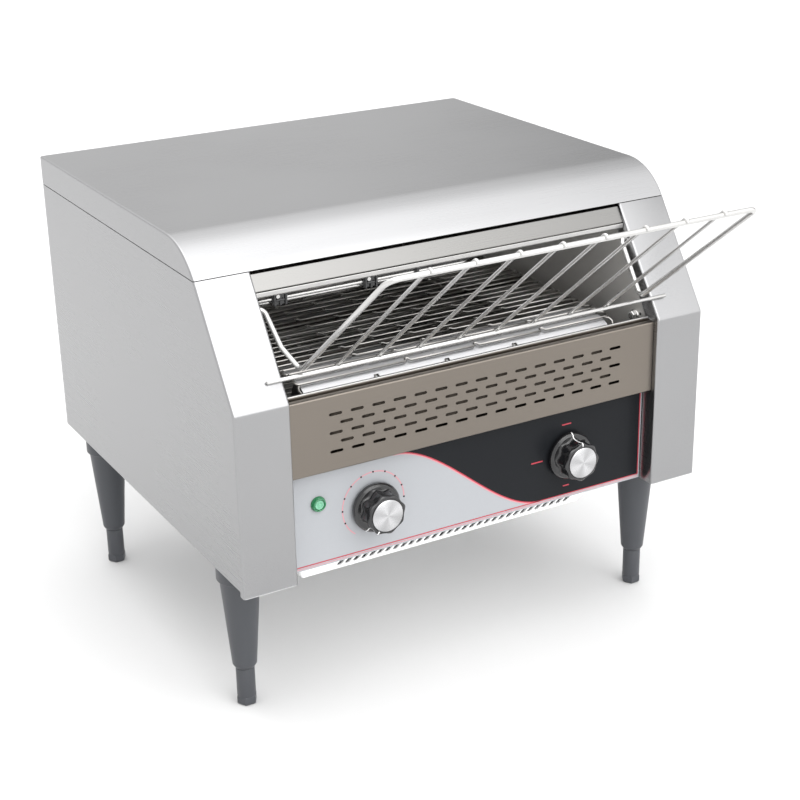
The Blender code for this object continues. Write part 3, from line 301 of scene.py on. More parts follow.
def spun_aluminium():
    """Turned disc face: fine concentric rings, and soft radial flares of light painted into its
    colour.
    """
    colour = (0.62, 0.62, 0.63)
    flares = 4.0
    mat = finish("spun_aluminium", "spun_aluminium", colour, 0.25, 1.0)
    tree = mat.node_tree
    place = tree.nodes.new('ShaderNodeTexCoord')
    split = tree.nodes.new('ShaderNodeSeparateXYZ')
    tree.links.new(place.outputs["Object"], split.inputs["Vector"])
    # Painted highlight: the colour darkens between four radial flares, as if the spun disc
    # caught the light there.
    turn = calculate(tree, 'ARCTAN2', split.outputs["Y"], split.outputs["X"])
    wave = calculate(tree, 'SINE', calculate(tree, 'MULTIPLY', turn, flares))
    flare = map_range(tree, wave, -1.0, 1.0, 0.0, 1.0)
    painted_flare_colour = ramp(tree, flare, [(0.0, shade(colour, 0.74)), (1.0, colour)])
    rings = tree.nodes.new('ShaderNodeTexWave')
    rings.wave_type = 'RINGS'
    rings.rings_direction = 'Z'
    rings.inputs["Scale"].default_value = 900.0
    tree.links.new(place.outputs["Object"], rings.inputs["Vector"])
    height = rings.outputs["Fac"]
    surface(tree, painted_flare_colour, map_range(tree, height, *MIDDLE_HALF, 0.22, 0.32), height, 0.1, 0.00003)
    return mat


ALUMINIUM = spun_aluminium()


# ---------------------------------------------------------------- mesh helpers

def add_object(name, data):
    obj = bpy.data.objects.new(name, data)
    bpy.context.scene.collection.objects.link(obj)
    return obj


def to_mesh(name, bm):
    mesh = bpy.data.meshes.new(name)
    bm.to_mesh(mesh)
    bm.free()
    return mesh


def smoothed(mesh, degrees):
    mesh.shade_smooth()
    mesh.set_sharp_from_angle(angle=math.radians(degrees))


def piece(name, bm, mat, body="housing", replaces=(), place=None, smooth=35):
    """Make a mesh a shown piece that rides on a body, finished with a material's slot."""
    mesh = to_mesh(name, bm)
    mesh.materials.append(mat)
    if smooth:
        smoothed(mesh, smooth)
    obj = add_object(name, mesh)
    obj.location = (0, FRONT, 0) if place is None else place
    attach(obj, body)
    if replaces:
        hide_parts(*replaces)
    return obj


def solid(name, bm, mat, matrix=Matrix.Identity(4), **options):
    """Place a closed mesh, turn its faces outwards and make it a piece."""
    bmesh.ops.transform(bm, matrix=matrix, verts=bm.verts)
    bmesh.ops.recalc_face_normals(bm, faces=bm.faces)
    return piece(name, bm, mat, **options)


def bevelled(obj, width, angle=None):
    """Round a piece's edges, or only those sharper than an angle."""
    edge = obj.modifiers.new("rim", 'BEVEL')
    edge.width = width
    edge.segments = 2
    if angle:
        edge.limit_method = 'ANGLE'
        edge.angle_limit = angle


def rounded(points, radius, steps=4):
    """Replace the inner corners of an open line by arcs of at most that radius."""
    points = [Vector(point) for point in points]
    result = [points[0]]
    for before, corner, after in zip(points, points[1:], points[2:]):
        one = before - corner
        two = after - corner
        angle = one.angle(two)
        reach = min(radius / math.tan(angle / 2), 0.49 * one.length, 0.49 * two.length)
        one.normalize()
        two.normalize()
        centre = corner + (one + two).normalized() * (reach / math.cos(angle / 2))
        start = corner + one * reach - centre
        end = corner + two * reach - centre
        sweep_angle = start.angle(end)
        for i in range(steps + 1):
            share = i / steps
            near = math.sin((1 - share) * sweep_angle)
            far = math.sin(share * sweep_angle)
            result.append(centre + (start * near + end * far) / math.sin(sweep_angle))
    result.append(points[-1])
    return result


def grid(bm, rows, closed=False):
    """Quads between rows of points of the same length; returns the rows of vertices."""
    made = [[bm.verts.new(point) for point in row] for row in rows]
    for low, high in zip(made, made[1:]):
        count = len(low)
        for i in range(count if closed else count - 1):
            j = (i + 1) % count
            bm.faces.new((low[i], low[j], high[j], high[i]))
    return made


def face_outwards(bm, outward):
    """Turn a connected sheet so that its largest face looks along outward."""
    bmesh.ops.recalc_face_normals(bm, faces=bm.faces)
    largest = max(bm.faces, key=lambda face: face.calc_area())
    if largest.normal.dot(Vector(outward)) < 0:
        bmesh.ops.reverse_faces(bm, faces=bm.faces)


def sheet_metal(obj, thickness, rim=0.25 * MM):
    """Give a skin thickness on its inner side, tiny rounded edges and even shading."""
    shell = obj.modifiers.new("sheet", 'SOLIDIFY')
    shell.thickness = thickness
    shell.offset = -1
    shell.use_even_offset = True
    if rim:
        bevelled(obj, rim, math.radians(60))
    even_normals(obj)
    return obj


def even_normals(obj):
    obj.modifiers.new("normals", 'WEIGHTED_NORMAL').keep_sharp = True


def carve(obj, shape):
    """Cut a shape out of a piece for good, with all modifiers so far applied."""
    cutter = add_object("cutter", to_mesh("cutter", shape))
    cutter.matrix_world = Matrix.Translation(obj.matrix_world.translation)
    step = obj.modifiers.new("cut", 'BOOLEAN')
    step.operation = 'DIFFERENCE'
    step.solver = 'EXACT'
    step.object = cutter
    graph = bpy.context.evaluated_depsgraph_get()
    mesh = bpy.data.meshes.new_from_object(obj.evaluated_get(graph))
    obj.modifiers.clear()
    obj.data = mesh
    bpy.data.objects.remove(cutter)
    smoothed(mesh, 35)
    even_normals(obj)


def folded(name, profile, x0, x1, radius, thickness, outward, mat, **options):
    """A folded strip: a (y, z) profile with rounded folds, drawn along X."""
    bm = bmesh.new()
    line = rounded(profile, radius)
    grid(bm, [[(x, y, z) for y, z in line] for x in (x0, x1)])
    face_outwards(bm, outward)
    obj = piece(name, bm, mat, **options)
    return sheet_metal(obj, thickness)


def sweep(bm, points, radius, sides=8):
    """A round wire along points with rounded ends."""
    points = [Vector(point) for point in points]
    tangents = [(after - before).normalized()
                for before, after in zip([points[0], *points], [*points[1:], points[-1]])]
    across = tangents[0].orthogonal().normalized()
    stations = []
    for i, (point, tangent) in enumerate(zip(points, tangents)):
        if i:
            across = tangents[i - 1].rotation_difference(tangent) @ across
        stations.append((point, tangent, across.copy(), radius))
    nib = 0.45 * radius
    tip = 0.6 * radius
    point, tangent, side, _ = stations[0]
    stations.insert(0, (point - tangent * nib, tangent, side, tip))
    point, tangent, side, _ = stations[-1]
    stations.append((point + tangent * nib, tangent, side, tip))
    turns = [2 * math.pi * k / sides for k in range(sides)]
    rings = []
    for point, tangent, side, size in stations:
        up = tangent.cross(side)
        rings.append([point + (side * math.cos(a) + up * math.sin(a)) * size for a in turns])
    made = grid(bm, rings, closed=True)
    bm.faces.new(reversed(made[0]))
    bm.faces.new(made[-1])


def lathe(bm, profile, steps=32, matrix=Matrix.Identity(4)):
    """Turn (radius, height) points about Z; a zero radius closes the end."""
    turns = [2 * math.pi * k / steps for k in range(steps)]
    rows = []
    for radius, height in profile:
        circle = [(radius * math.cos(a), radius * math.sin(a), height) for a in turns]
        row = circle if radius else [(0, 0, height)]
        rows.append([bm.verts.new(matrix @ Vector(point)) for point in row])
    for low, high in zip(rows, rows[1:]):
        for k in range(steps):
            n = (k + 1) % steps
            ring = [low[k % len(low)], low[n % len(low)], high[n % len(high)],
                    high[k % len(high)]]
            corners = list(dict.fromkeys(ring))
            if len(corners) > 2:
                bm.faces.new(corners)


def turned(name, profile, mat, matrix=Matrix.Identity(4), radius=0.0, steps=36, **options):
    """A lathe piece, its profile's corners rounded by radius."""
    bm = bmesh.new()
    line = rounded(profile, radius, 3) if radius else profile
    lathe(bm, line, steps, matrix)
    solid(name, bm, mat, **options)


def box_into(bm, low, high):
    middle = (Vector(low) + Vector(high)) / 2
    size = Vector(high) - Vector(low)
    placed = Matrix.Translation(middle) @ Matrix.Diagonal((*size, 1))
    bmesh.ops.create_cube(bm, size=1, matrix=placed)


def add_mesh(bm, part):
    """Move a finished part into a bigger mesh."""
    mesh = to_mesh("part", part)
    bm.from_mesh(mesh)
    bpy.data.meshes.remove(mesh)


def extrude(bm, outline, reach):
    """A prism from an outline along a vector."""
    face = bm.faces.new([bm.verts.new(point) for point in outline])
    made = bmesh.ops.extrude_face_region(bm, geom=[face])["geom"]
    verts = [item for item in made if isinstance(item, bmesh.types.BMVert)]
    bmesh.ops.translate(bm, verts=verts, vec=reach)
    bmesh.ops.recalc_face_normals(bm, faces=bm.faces)


def round_slot(bm, centre, along, across, depth, length, width, steps=5):
    """A round-ended bar that cuts a slot; along and across are unit directions."""
    centre = Vector(centre)
    along = Vector(along).normalized()
    across = Vector(across).normalized()
    through = along.cross(across) * depth
    reach = length / 2 - width / 2
    outline = []
    for side in (1, -1):
        for i in range(steps + 1):
            turn = -math.pi / 2 + math.pi * i / steps
            outline.append(side * (along * (reach + width / 2 * math.cos(turn))
                                   + across * (width / 2 * math.sin(turn))))
    start = centre - through / 2
    prism = bmesh.new()
    extrude(prism, [start + point for point in outline], through)
    add_mesh(bm, prism)


def on_slant(along, out):
    """(y, z) at a distance along the leaning face and a distance out of it."""
    return BEND + SLANT * along + SLANT_OUT * out


def slant_shift(z):
    """How far the columns' front has moved back at a height."""
    return max(0.0, (z - BEND_Z) * SLANT.x / SLANT.y)


# ---------------------------------------------------------------- housing

def panel_section():
    """(x, y) points of the right panel's section, and how many lie on its column and on
    its column and wall together."""
    notch = 6 * MM
    flange = 14 * MM
    front = rounded([(CHEEK_X, CHEEK_DEPTH), (CHEEK_X, 0), (HALF, 0), (HALF, notch)], FOLD)
    wall = [Vector((HALF, notch + 0.2 * MM)), Vector((HALF, 30 * MM))]
    back = rounded([(HALF, DEPTH - notch), (HALF, DEPTH), (HALF - flange, DEPTH)], FOLD)
    return front + wall + back, len(front), len(front + wall)


def side_panel(name, side):
    """Outer wall, column face, leaning face and cheek as one folded sheet."""
    foot_flange = 38 * MM
    top = SLANT_TOP.y - 0.5 * MM
    section, front_count, wall_count = panel_section()
    low = BOTTOM + SIDE_STEP
    fold_steps = 4
    rows = [(low, foot_flange)]
    for step in range(fold_steps + 1):
        turn = math.pi / 2 * step / fold_steps
        rows.append((low + FOLD * (1 - math.cos(turn)), FOLD * (1 - math.sin(turn))))
    rows += [(BEND_Z + rise * MM, 0) for rise in (-3, -1, 0.3, 2.2)]
    rows.append((top, 0))
    lines = []
    for number, (z, inset) in enumerate(rows):
        bottom_fold = number <= fold_steps + 1
        line = []
        for i, point in enumerate(section):
            x, y = point
            height = z
            if i < front_count and bottom_fold:
                height = BOTTOM + (z - low) + SIDE_STEP * number / (fold_steps + 2)
            elif front_count <= i < wall_count or (bottom_fold and i >= wall_count
                                                   and abs(x - HALF) < FOLD):
                x -= inset
            if i < wall_count:
                y += slant_shift(z)
            line.append((side * x, y, height))
        lines.append(line)
    bm = bmesh.new()
    made = grid(bm, lines)
    front = made[0][:front_count] + made[1][:front_count]
    wall = made[0][front_count:]
    crossing = [face for face in bm.faces
                if any(v in front for v in face.verts) and any(v in wall for v in face.verts)]
    bmesh.ops.delete(bm, geom=crossing, context='FACES')
    face_outwards(bm, (side, 0, 0))
    node = "right_side_panel" if side > 0 else "left_side_panel"
    sheet_metal(piece(name, bm, STEEL_SIDE, replaces=(node,)), SHEET)


def cover():
    """Lid with a rolled nose, rounded long edges and shallow skirts."""
    rise = COVER_TOP - SLANT_TOP.y
    slope = math.atan2(SLANT.y, SLANT.x)
    radius = rise / (1 - math.cos(slope))
    centre = Vector((SLANT_TOP.x + radius * math.sin(slope), COVER_TOP - radius))
    arc_steps = 28
    turns = [math.pi / 2 + slope * (1 - i / arc_steps) for i in range(arc_steps + 1)]
    outline = [centre + Vector((math.cos(turn), math.sin(turn))) * radius for turn in turns]
    outline += [Vector((DEPTH, COVER_TOP)), Vector((DEPTH, SLANT_TOP.y))]
    bm = bmesh.new()
    extrude(bm, [(-HALF, y, z) for y, z in outline], (2 * HALF, 0, 0))
    below = [face for face in bm.faces if face.normal.z < -0.9]
    bmesh.ops.delete(bm, geom=below, context='FACES_ONLY')
    folds = [edge for edge in bm.edges if len(edge.link_faces) == 2
             and edge.calc_face_angle() > math.radians(60)]
    bmesh.ops.bevel(bm, geom=folds, offset=1.6 * MM, segments=4, profile=0.5,
                    affect='EDGES')
    face_outwards(bm, (0, 0, 1))
    sheet_metal(piece("rolled_cover", bm, STEEL_TOP, replaces=("top_cover",)), SHEET)


def lintel():
    """Strip above the loading opening, painted darker as shade, and, below a thin dark joint,
    its lip, painted bright as a highlight.
    """
    low, high = span("lintel")
    back = 12 * MM
    top = on_slant(99.6 * MM, -3 * MM)
    lip = on_slant(86 * MM, -3 * MM)
    hem = on_slant(82.5 * MM, -6 * MM)
    seam = (hem - lip).normalized() * 0.5 * MM
    profile = [top + Vector((back, 0)), top, lip, lip + seam]
    folded("lintel_strip", profile, low.x, high.x, 0.9 * MM, SHEET, (0, -1, 1), STEEL_SHADED,
           replaces=("lintel",))
    profile = [lip + 2 * seam, hem, hem + Vector((back / 2, 0))]
    folded("lintel_lip", profile, low.x, high.x, 0.9 * MM, SHEET, (0, -1, 1), STEEL_LIT)


def baffle():
    """Slotted baffle with rounded rims and round-ended slots."""
    low, high = span("perforated_baffle")
    rim = 8 * MM
    profile = [(low.y + rim, low.z), (low.y, low.z), (low.y, high.z),
               (low.y + rim * 0.7, high.z)]
    obj = folded("slotted_baffle", profile, low.x, high.x, 1.2 * MM, THIN, (0, -1, 0),
                 BAFFLE_STEEL, replaces=("perforated_baffle",))
    slots = bmesh.new()
    cut = 8 * MM
    slot = Vector((10.8, 2.3)) * MM
    pitch_x = 18 * MM
    pitch_z = 7.4 * MM
    top_row = 249 * MM
    rows = 5
    longest = 15
    for row in range(rows):
        count = longest - row % 2
        for column in range(count):
            x = (column - (count - 1) / 2) * pitch_x
            round_slot(slots, (x, low.y, top_row - row * pitch_z), (1, 0, 0), (0, 0, 1),
                       cut, *slot)
    carve(obj, slots)


def shield():
    """Heat-stained sheet between the baffle and the belt's nose, with its top fold painted
    bright as a highlight.
    """
    low, high = span("heat_shield")
    fold = high.z - 1.4 * MM
    profile = [(low.y, low.z), (low.y, fold)]
    folded("shield_sheet", profile, low.x, high.x, 0.5 * MM, THIN, (0, -1, 0), BURNT_STEEL,
           replaces=("heat_shield",))
    profile = [(low.y, fold + 0.05 * MM), (low.y, high.z), (high.y, high.z)]
    folded("shield_fold", profile, low.x, high.x, 0.5 * MM, THIN, (0, -1, 0), STEEL_LIT)


def pan():
    """Vented pan under the base, its front sloping, with slanted louvre slots."""
    low, high = span("belly_pan")
    taper = 7 * MM
    slope = 9 * MM
    bm = bmesh.new()
    box_into(bm, low, high)
    lid = [face for face in bm.faces if face.calc_center_median().z > high.z - 0.1 * MM]
    bmesh.ops.delete(bm, geom=lid, context='FACES_ONLY')
    for vert in bm.verts:
        if vert.co.z < (low.z + high.z) / 2:
            vert.co.x += taper if vert.co.x < 0 else -taper
            vert.co.y += slope if vert.co.y < high.y / 2 else -slope
    folds = [edge for edge in bm.edges if len(edge.link_faces) == 2]
    bmesh.ops.bevel(bm, geom=folds, offset=1.5 * MM, segments=3, profile=0.5,
                    affect='EDGES')
    face_outwards(bm, (0, 0, -1))
    obj = sheet_metal(piece("vented_pan", bm, WHITE, replaces=("belly_pan",)), THIN, rim=0)
    slots = bmesh.new()
    depth = high.z - low.z
    down = Vector((0, slope, -depth)).normalized()
    first = -116.5 * MM
    last = 94.5 * MM
    count = 31
    cut = 12 * MM
    vent = Vector((9.4, 4.6)) * MM
    long_slot = Vector((18, 2.4)) * MM
    middle = Vector((0, low.y + slope * 0.5, high.z - depth * 0.5))
    lean = (Vector((0.42, 0, 0)) + -down).normalized()
    side = lean.cross(Vector((0, -depth, -slope)).normalized())
    for number in range(count):
        x = first + (last - first) * number / (count - 1)
        round_slot(slots, middle + Vector((x, 0, 0)), lean, side, cut, *vent)
    long_x = (first + low.x) / 2 - 1 * MM
    round_slot(slots, (long_x, low.y + slope * 0.3, high.z - depth * 0.3), (1, 0, 0), down,
               cut, *long_slot)
    carve(obj, slots)


def housing():
    side_panel("left_wall_sheet", -1)
    side_panel("right_wall_sheet", 1)
    cover()
    lintel()
    baffle()
    shield()
    pan()


# ---------------------------------------------------------------- control panel

def flat_patch(name, outline, y, mat, thickness=0.12 * MM):
    """A thin printed patch on the panel from its (x, z) outline."""
    bm = bmesh.new()
    extrude(bm, [(x, y, z) for x, z in outline], (0, thickness, 0))
    piece(name, bm, mat, smooth=0)


def ribbon(name, line, width, y, mat):
    """A printed line of even width along (x, z) points."""
    line = [Vector(point) for point in line]
    left = []
    right = []
    for i, point in enumerate(line):
        along = (line[min(i + 1, len(line) - 1)] - line[max(i - 1, 0)]).normalized()
        side = Vector((-along.y, along.x)) * width / 2
        left.append(point + side)
        right.append(point - side)
    flat_patch(name, left + right[::-1], y, mat)


def print_boundary(steps=28):
    """The S-shaped line between the silver and the charcoal print, left to right."""
    ends = [Vector((-72, 199.5)), Vector((-28, 199.5)), Vector((20, 125)), Vector((64, 125.5))]
    points = []
    for i in range(steps + 1):
        t = i / steps
        weights = ((1 - t) ** 3, 3 * t * (1 - t) ** 2, 3 * t * t * (1 - t), t ** 3)
        points.append(sum((end * w for end, w in zip(ends, weights)), Vector((0, 0))) * MM)
    return points


def fascia():
    """Recessed panel in two tones with its red lines."""
    low = PANEL_LOW
    high = PANEL_HIGH
    bm = bmesh.new()
    box_into(bm, low, high)
    obj = piece("fascia_plate", bm, PRINT_LIGHT, replaces=("control_panel",), smooth=0)
    bevelled(obj, 0.3 * MM)
    holes = bmesh.new()
    reach = 5 * MM
    stem_hole = 4 * MM
    lamp_x, _, lamp_z = lamp_centre()
    for x, z, radius in ((-KNOB_X, KNOB_Z, stem_hole), (KNOB_X, KNOB_Z, stem_hole),
                         (lamp_x, lamp_z, 4.6 * MM)):
        lathe(holes, [(0, reach), (radius, reach), (radius, -reach), (0, -reach)], 24,
              Matrix.Translation((x, PANEL_Y, z)) @ TO_FRONT)
    carve(obj, holes)
    print_y = PANEL_Y - 0.1 * MM
    line_y = PANEL_Y - 0.18 * MM
    line_width = 0.9 * MM
    boundary = print_boundary()
    bottom = 125.4 * MM
    left = low.x + 7 * MM
    right = high.x - 1.9 * MM
    dark = boundary + [(right, bottom), (right, high.z), (boundary[0].x, high.z)]
    flat_patch("charcoal_print", dark, print_y, PRINT_DARK)
    ribbon("red_curve", boundary, line_width, line_y, PRINT_RED)
    glow = [point - Vector((0.5, 0.75)) * MM for point in boundary]
    ribbon("pink_curve", glow, 0.8 * MM, line_y + 0.04 * MM, PRINT_PINK)
    for label, z, width, mat in (("upper", bottom, 0.8 * MM, PRINT_RED),
                                 ("lower", bottom - 1.7 * MM, 0.45 * MM, PRINT_PINK)):
        ribbon("red_base_line_" + label, [(left, z), (right, z)], width, line_y, mat)
    ribbon("red_end_line", [(right, bottom), (right, high.z - MM)], line_width, line_y,
           PRINT_RED)


def dial_scale():
    """Arc of the speed scale, with ten dots and a plain tail."""
    y = PANEL_Y - 0.1 * MM
    centre = Vector((-KNOB_X - 0.4 * MM, KNOB_Z + 1.3 * MM))
    first = math.radians(-128)
    last = math.radians(-1)
    whole = last - first - 2 * math.pi
    steps = 56

    def circle(middle, radius, turns):
        return [middle + Vector((math.cos(turn), math.sin(turn))) * radius for turn in turns]

    arc = circle(centre, DIAL_RADIUS, [first + whole * i / steps for i in range(steps + 1)])
    ribbon("dial_arc", arc, 0.75 * MM, y, PRINT_PINK)
    dots = 10
    dot_step = math.radians(22.6)
    round_dot = [2 * math.pi * k / 12 for k in range(12)]
    for number, middle in enumerate(circle(centre, DIAL_RADIUS,
                                           [last + dot_step * n for n in range(dots)])):
        flat_patch(f"dial_dot_{number}", circle(middle, 0.75 * MM, round_dot), y - 0.08 * MM,
                   PRINT_DARK)


def switch_marks():
    """Red marks round the rotary switch."""
    y = PANEL_Y - 0.2 * MM
    for label, x, z, length in (("top", 88.4, 187.6, 9), ("left", 60, 160.4, 11),
                                ("bottom", 89, 133.2, 6)):
        ends = [((x - length / 2) * MM, z * MM), ((x + length / 2) * MM, z * MM)]
        ribbon("switch_mark_" + label, ends, 1.1 * MM, y, PRINT_RED)


def lamp_centre():
    low, high = span("indicator_lamp")
    return (low + high) / 2


def lamp():
    """Pilot lamp: a pale ringed lens in a dark green moulded bezel."""
    low, high = span("indicator_lamp")
    centre = lamp_centre()
    outer = (high.x - low.x) / 2
    front = PANEL_Y - low.y
    place = (centre.x, FRONT + PANEL_Y, centre.z)

    def profile(points):
        """(radius, height) points from shares of the radius and mm below the front."""
        return [(outer * share, front - drop * MM) for share, drop in points]

    bezel = profile([(0.66, 2.4), (0.68, 0.7), (0.74, 0.4), (0.84, 0.6), (0.92, 1.4), (1, 2.6)])
    turned("lamp_bezel", [*bezel, (outer, 0)], LENS, TO_FRONT, steps=40, place=place,
           replaces=("indicator_lamp",))
    lens = profile([(0, 0.9), (0.2, 0.9), (0.24, 1.3), (0.36, 1.3), (0.4, 0.8), (0.56, 0.7),
                    (0.62, 1.2), (0.65, 2.2)])
    turned("lamp_lens", lens, LENS_PALE, TO_FRONT, steps=40, place=place)


def grip_ring(radius, depth, height, crest, flutes=8, points=96):
    """One scalloped ring of a grip, with a crest at that angle."""
    ring = []
    for k in range(points):
        turn = 2 * math.pi * k / points
        wave = 0.5 - 0.5 * math.cos(flutes * (turn - crest))
        reach = radius - depth * wave ** 0.8
        ring.append(Vector((reach * math.cos(turn), reach * math.sin(turn), height)))
    return ring


def knob_point(radius, height):
    """A (radius, height) point of the knob's drawing, its radius scaled to the real skirt."""
    return radius * KNOB_SCALE * MM, height * MM


def knob(name, x, body, pointer):
    """Control knob: skirt, fluted grip with a front flange, spun disc and pointer line."""
    place = (x, FRONT + KNOB_BACK, KNOB_Z)
    stem = 3 * MM
    stem_end = span(name)[1].y - KNOB_BACK
    bm = bmesh.new()
    skirt = [(stem, 0), *(knob_point(*point) for point in
                          ((18, 0), (18, 3.2), (16.6, 5.2), (13, 5.6)))]
    lathe(bm, [tuple(point) for point in rounded(skirt, 0.8 * MM, 3)], 64)
    lathe(bm, [(stem, 0), (stem, -stem_end), (0, -stem_end)], 24)
    loft = [(15.4, 1.5, 5.2), (14.6, 1.9, 6.2), (14.0, 2.1, 8.5), (14.0, 2.1, 13.5),
            (14.5, 1.9, 16.4), (14.8, 1.6, 17.4), (14.7, 1.4, 18.2), (14.1, 1.1, 18.8),
            (13.2, 0.3, 19.0), (12.2, 0.0, 19.0), (12.0, 0.0, 18.7)]
    rings = [grip_ring(knob_point(radius, height)[0], depth * MM, height * MM, pointer)
             for radius, depth, height in loft]
    grid(bm, rings, closed=True)
    rim, _, seat = loft[-1]
    lathe(bm, [knob_point(rim, seat), knob_point(0, seat)], 96)
    solid(name + "_moulding", bm, BAKELITE, TO_FRONT, body=body, replaces=(name,),
          place=place, smooth=40)
    knob_disc(name, body, place)
    knob_pointer(name, body, place, pointer)


def knob_disc(name, body, place):
    """Spun metal disc on the knob's face; its own frame looks forwards, for its rings and its
    painted flares.
    """
    disc = [(0, 20.5), (6, 20.42), (10.9, 20.3), (11.4, 20.05), (11.6, 19.7), (11.6, 18.8)]
    bm = bmesh.new()
    lathe(bm, [knob_point(*point) for point in disc], 64)
    obj = piece(name + "_disc", bm, ALUMINIUM, body, (name + "_cap",), place, 50)
    obj.matrix_world = Matrix.Translation(place) @ TO_FRONT
    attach(obj, body)


def knob_pointer(name, body, place, turn):
    """White line from the skirt up over the grip."""
    path = [(17.95, 1.5), (18.1, 3.2), (16.7, 5.35), (15.5, 5.45), (14.75, 6.3),
            (14.15, 8.5), (14.15, 13.5), (14.65, 16.4), (14.95, 17.4), (14.8, 18.35),
            (14.2, 18.95), (12.3, 19.12)]
    half = 0.5 * MM
    bm = bmesh.new()
    grid(bm, [[(r, side * half, h) for side in (-1, 1)]
              for r, h in (knob_point(*point) for point in path)])
    aimed = TO_FRONT @ Matrix.Rotation(turn, 4, 'Z')
    bmesh.ops.transform(bm, matrix=aimed, verts=bm.verts)
    line = piece(name + "_pointer", bm, PRINT_WHITE, body, place=place)
    line.modifiers.new("paint", 'SOLIDIFY').thickness = 0.1 * MM


def controls():
    fascia()
    dial_scale()
    switch_marks()
    lamp()
    knob("speed_knob", -KNOB_X, "speed_control", math.radians(-122))
    knob("switch_knob", KNOB_X, "mode_switch", math.radians(90))


# ---------------------------------------------------------------- conveyor and chamber

def belt_point(distance):
    """(y, z) on the belt's centre line at a distance round it, from the nose's lowest point."""
    radius = BELT_RADIUS - STRAND_RADIUS
    run = DRIVE_Y - NOSE_Y
    bend = math.pi * radius
    s = distance % belt_length()
    if s < bend:
        turn = -math.pi / 2 - s / radius
        return NOSE_Y + radius * math.cos(turn), SHAFT_Z + radius * math.sin(turn)
    s -= bend
    if s < run:
        return NOSE_Y + s, SHAFT_Z + radius
    s -= run
    if s < bend:
        turn = math.pi / 2 - s / radius
        return DRIVE_Y + radius * math.cos(turn), SHAFT_Z + radius * math.sin(turn)
    s -= bend
    return DRIVE_Y - s, SHAFT_Z - radius


def belt_length():
    return 2 * (DRIVE_Y - NOSE_Y) + 2 * math.pi * (BELT_RADIUS - STRAND_RADIUS)


def strand(bm, number, pitch):
    """One belt wire: a straight run with three small steps that hook its neighbour, and a
    curl at each edge."""
    start = number * pitch
    half = BELT_HALF - STRAND_RADIUS
    curl = [(0.0, 0.9), (2.5, 0.75), (3.5, 0.4), (2.4, 0.05), (0.0, 0.0)]
    farthest = 3.5
    step = [(-2.2, 0), (-1.2, 0.3), (1.2, 0.3), (2.2, 0)]
    step_pitch = 62 * MM
    shift = (number % 2 - 0.5) * step_pitch / 2
    points = [(-half + (farthest - out) * MM, ahead) for out, ahead in curl]
    for place in (-1, 0, 1):
        points += [(place * step_pitch + shift + x * MM, ahead) for x, ahead in step]
    points += [(half - (farthest - out) * MM, ahead) for out, ahead in reversed(curl)]
    line = [(x, *belt_point(start + pitch * ahead)) for x, ahead in points]
    sweep(bm, line, STRAND_RADIUS, 6)


def wire_belt():
    """The conveyor's wires, one by one from the nose to the drive shaft and back."""
    bm = bmesh.new()
    pitch = belt_length() / STRAND_COUNT
    for number in range(STRAND_COUNT):
        strand(bm, number, pitch)
    piece("wire_belt", bm, BELT, replaces=("conveyor_belt",), smooth=60)


def nose_guide():
    """Bright fixed sheet under the wires, rolled round the belt's front turn."""
    low, high = span("nose_guide")
    radius = (high.z - low.z) / 2
    turns = [math.pi / 2 + math.pi * i / 32 for i in range(33)]
    front = [(NOSE_Y + radius * math.cos(a), SHAFT_Z + radius * math.sin(a)) for a in turns]
    bm = bmesh.new()
    line = [(high.y, high.z), *front, (high.y - 8 * MM, low.z)]
    grid(bm, [[(x, y, z) for y, z in line] for x in (low.x, high.x)])
    face_outwards(bm, (0, 0, 1))
    obj = piece("nose_guide_sheet", bm, NOSE_STEEL, replaces=("nose_guide",), smooth=60)
    sheet_metal(obj, THIN, rim=0)


def hex_bolt(name, matrix, size):
    """Hexagon-head bolt with a domed top on a washer."""
    bm = bmesh.new()
    washer = 0.3 * size
    lathe(bm, [(0, 0), (size * 1.25, 0), (size * 1.3, washer / 2), (size * 1.25, washer),
               (0, washer)], 28)
    lathe(bm, [(size * 1.02, washer), (size * 1.02, 0.85 * size), (size * 0.9, size)], 6)
    lathe(bm, [(size * 0.9, size), (size * 0.6, size * 1.14), (0, size * 1.2)], 6)
    solid(name, bm, CHROME, matrix, smooth=25)


def pan_screw(name, matrix, radius):
    """Cross-recessed pan-head screw."""
    bm = bmesh.new()
    lathe(bm, rounded([(radius, 0), (radius, radius * 0.45), (0, radius * 0.62)],
                      radius * 0.35, 3), 28)
    obj = solid(name, bm, CHROME, matrix, smooth=40)
    cross = bmesh.new()
    askew = 0.4
    for turn in (askew, math.pi / 2 + askew):
        blade = bmesh.new()
        box_into(blade, (-radius * 0.55, -radius * 0.11, radius * 0.3),
                 (radius * 0.55, radius * 0.11, radius))
        bmesh.ops.transform(blade, matrix=matrix @ Matrix.Rotation(turn, 4, 'Z'),
                            verts=blade.verts)
        add_mesh(cross, blade)
    carve(obj, cross)


def chamber():
    """Bolt in each side wall of the heating chamber, and thin black discs painted as the shade
    in its holes.
    """
    shade_disc_thickness = 0.12 * MM
    bolt = (30 * MM, 262 * MM)
    holes = ((52 * MM, 273 * MM, 2.2 * MM), (23.5 * MM, 265 * MM, 1.3 * MM))
    for side, label, turn in ((1, "right", TO_LEFT), (-1, "left", TO_RIGHT)):
        x = side * CHEEK_X
        hex_bolt("wall_bolt_" + label, Matrix.Translation((x, *bolt)) @ turn, 4.2 * MM)
        for number, (y, z, radius) in enumerate(holes):
            # Each hole is a thin black disc on the wall: painted shade where the hole would be
            # dark.
            turned(f"hole_shade_disc_{label}_{number}",
                   [(radius, 0), (radius, shade_disc_thickness), (0, shade_disc_thickness)], HOLE_SHADE,
                   Matrix.Translation((x, y, z)) @ turn, steps=20)


def tube(name, points, radius, mat, bend=0.0, sides=12, **options):
    """A round tube along points, its corners bent to a radius."""
    bm = bmesh.new()
    sweep(bm, rounded(points, bend, 6) if bend else points, radius, sides)
    piece(name, bm, mat, smooth=60, **options)


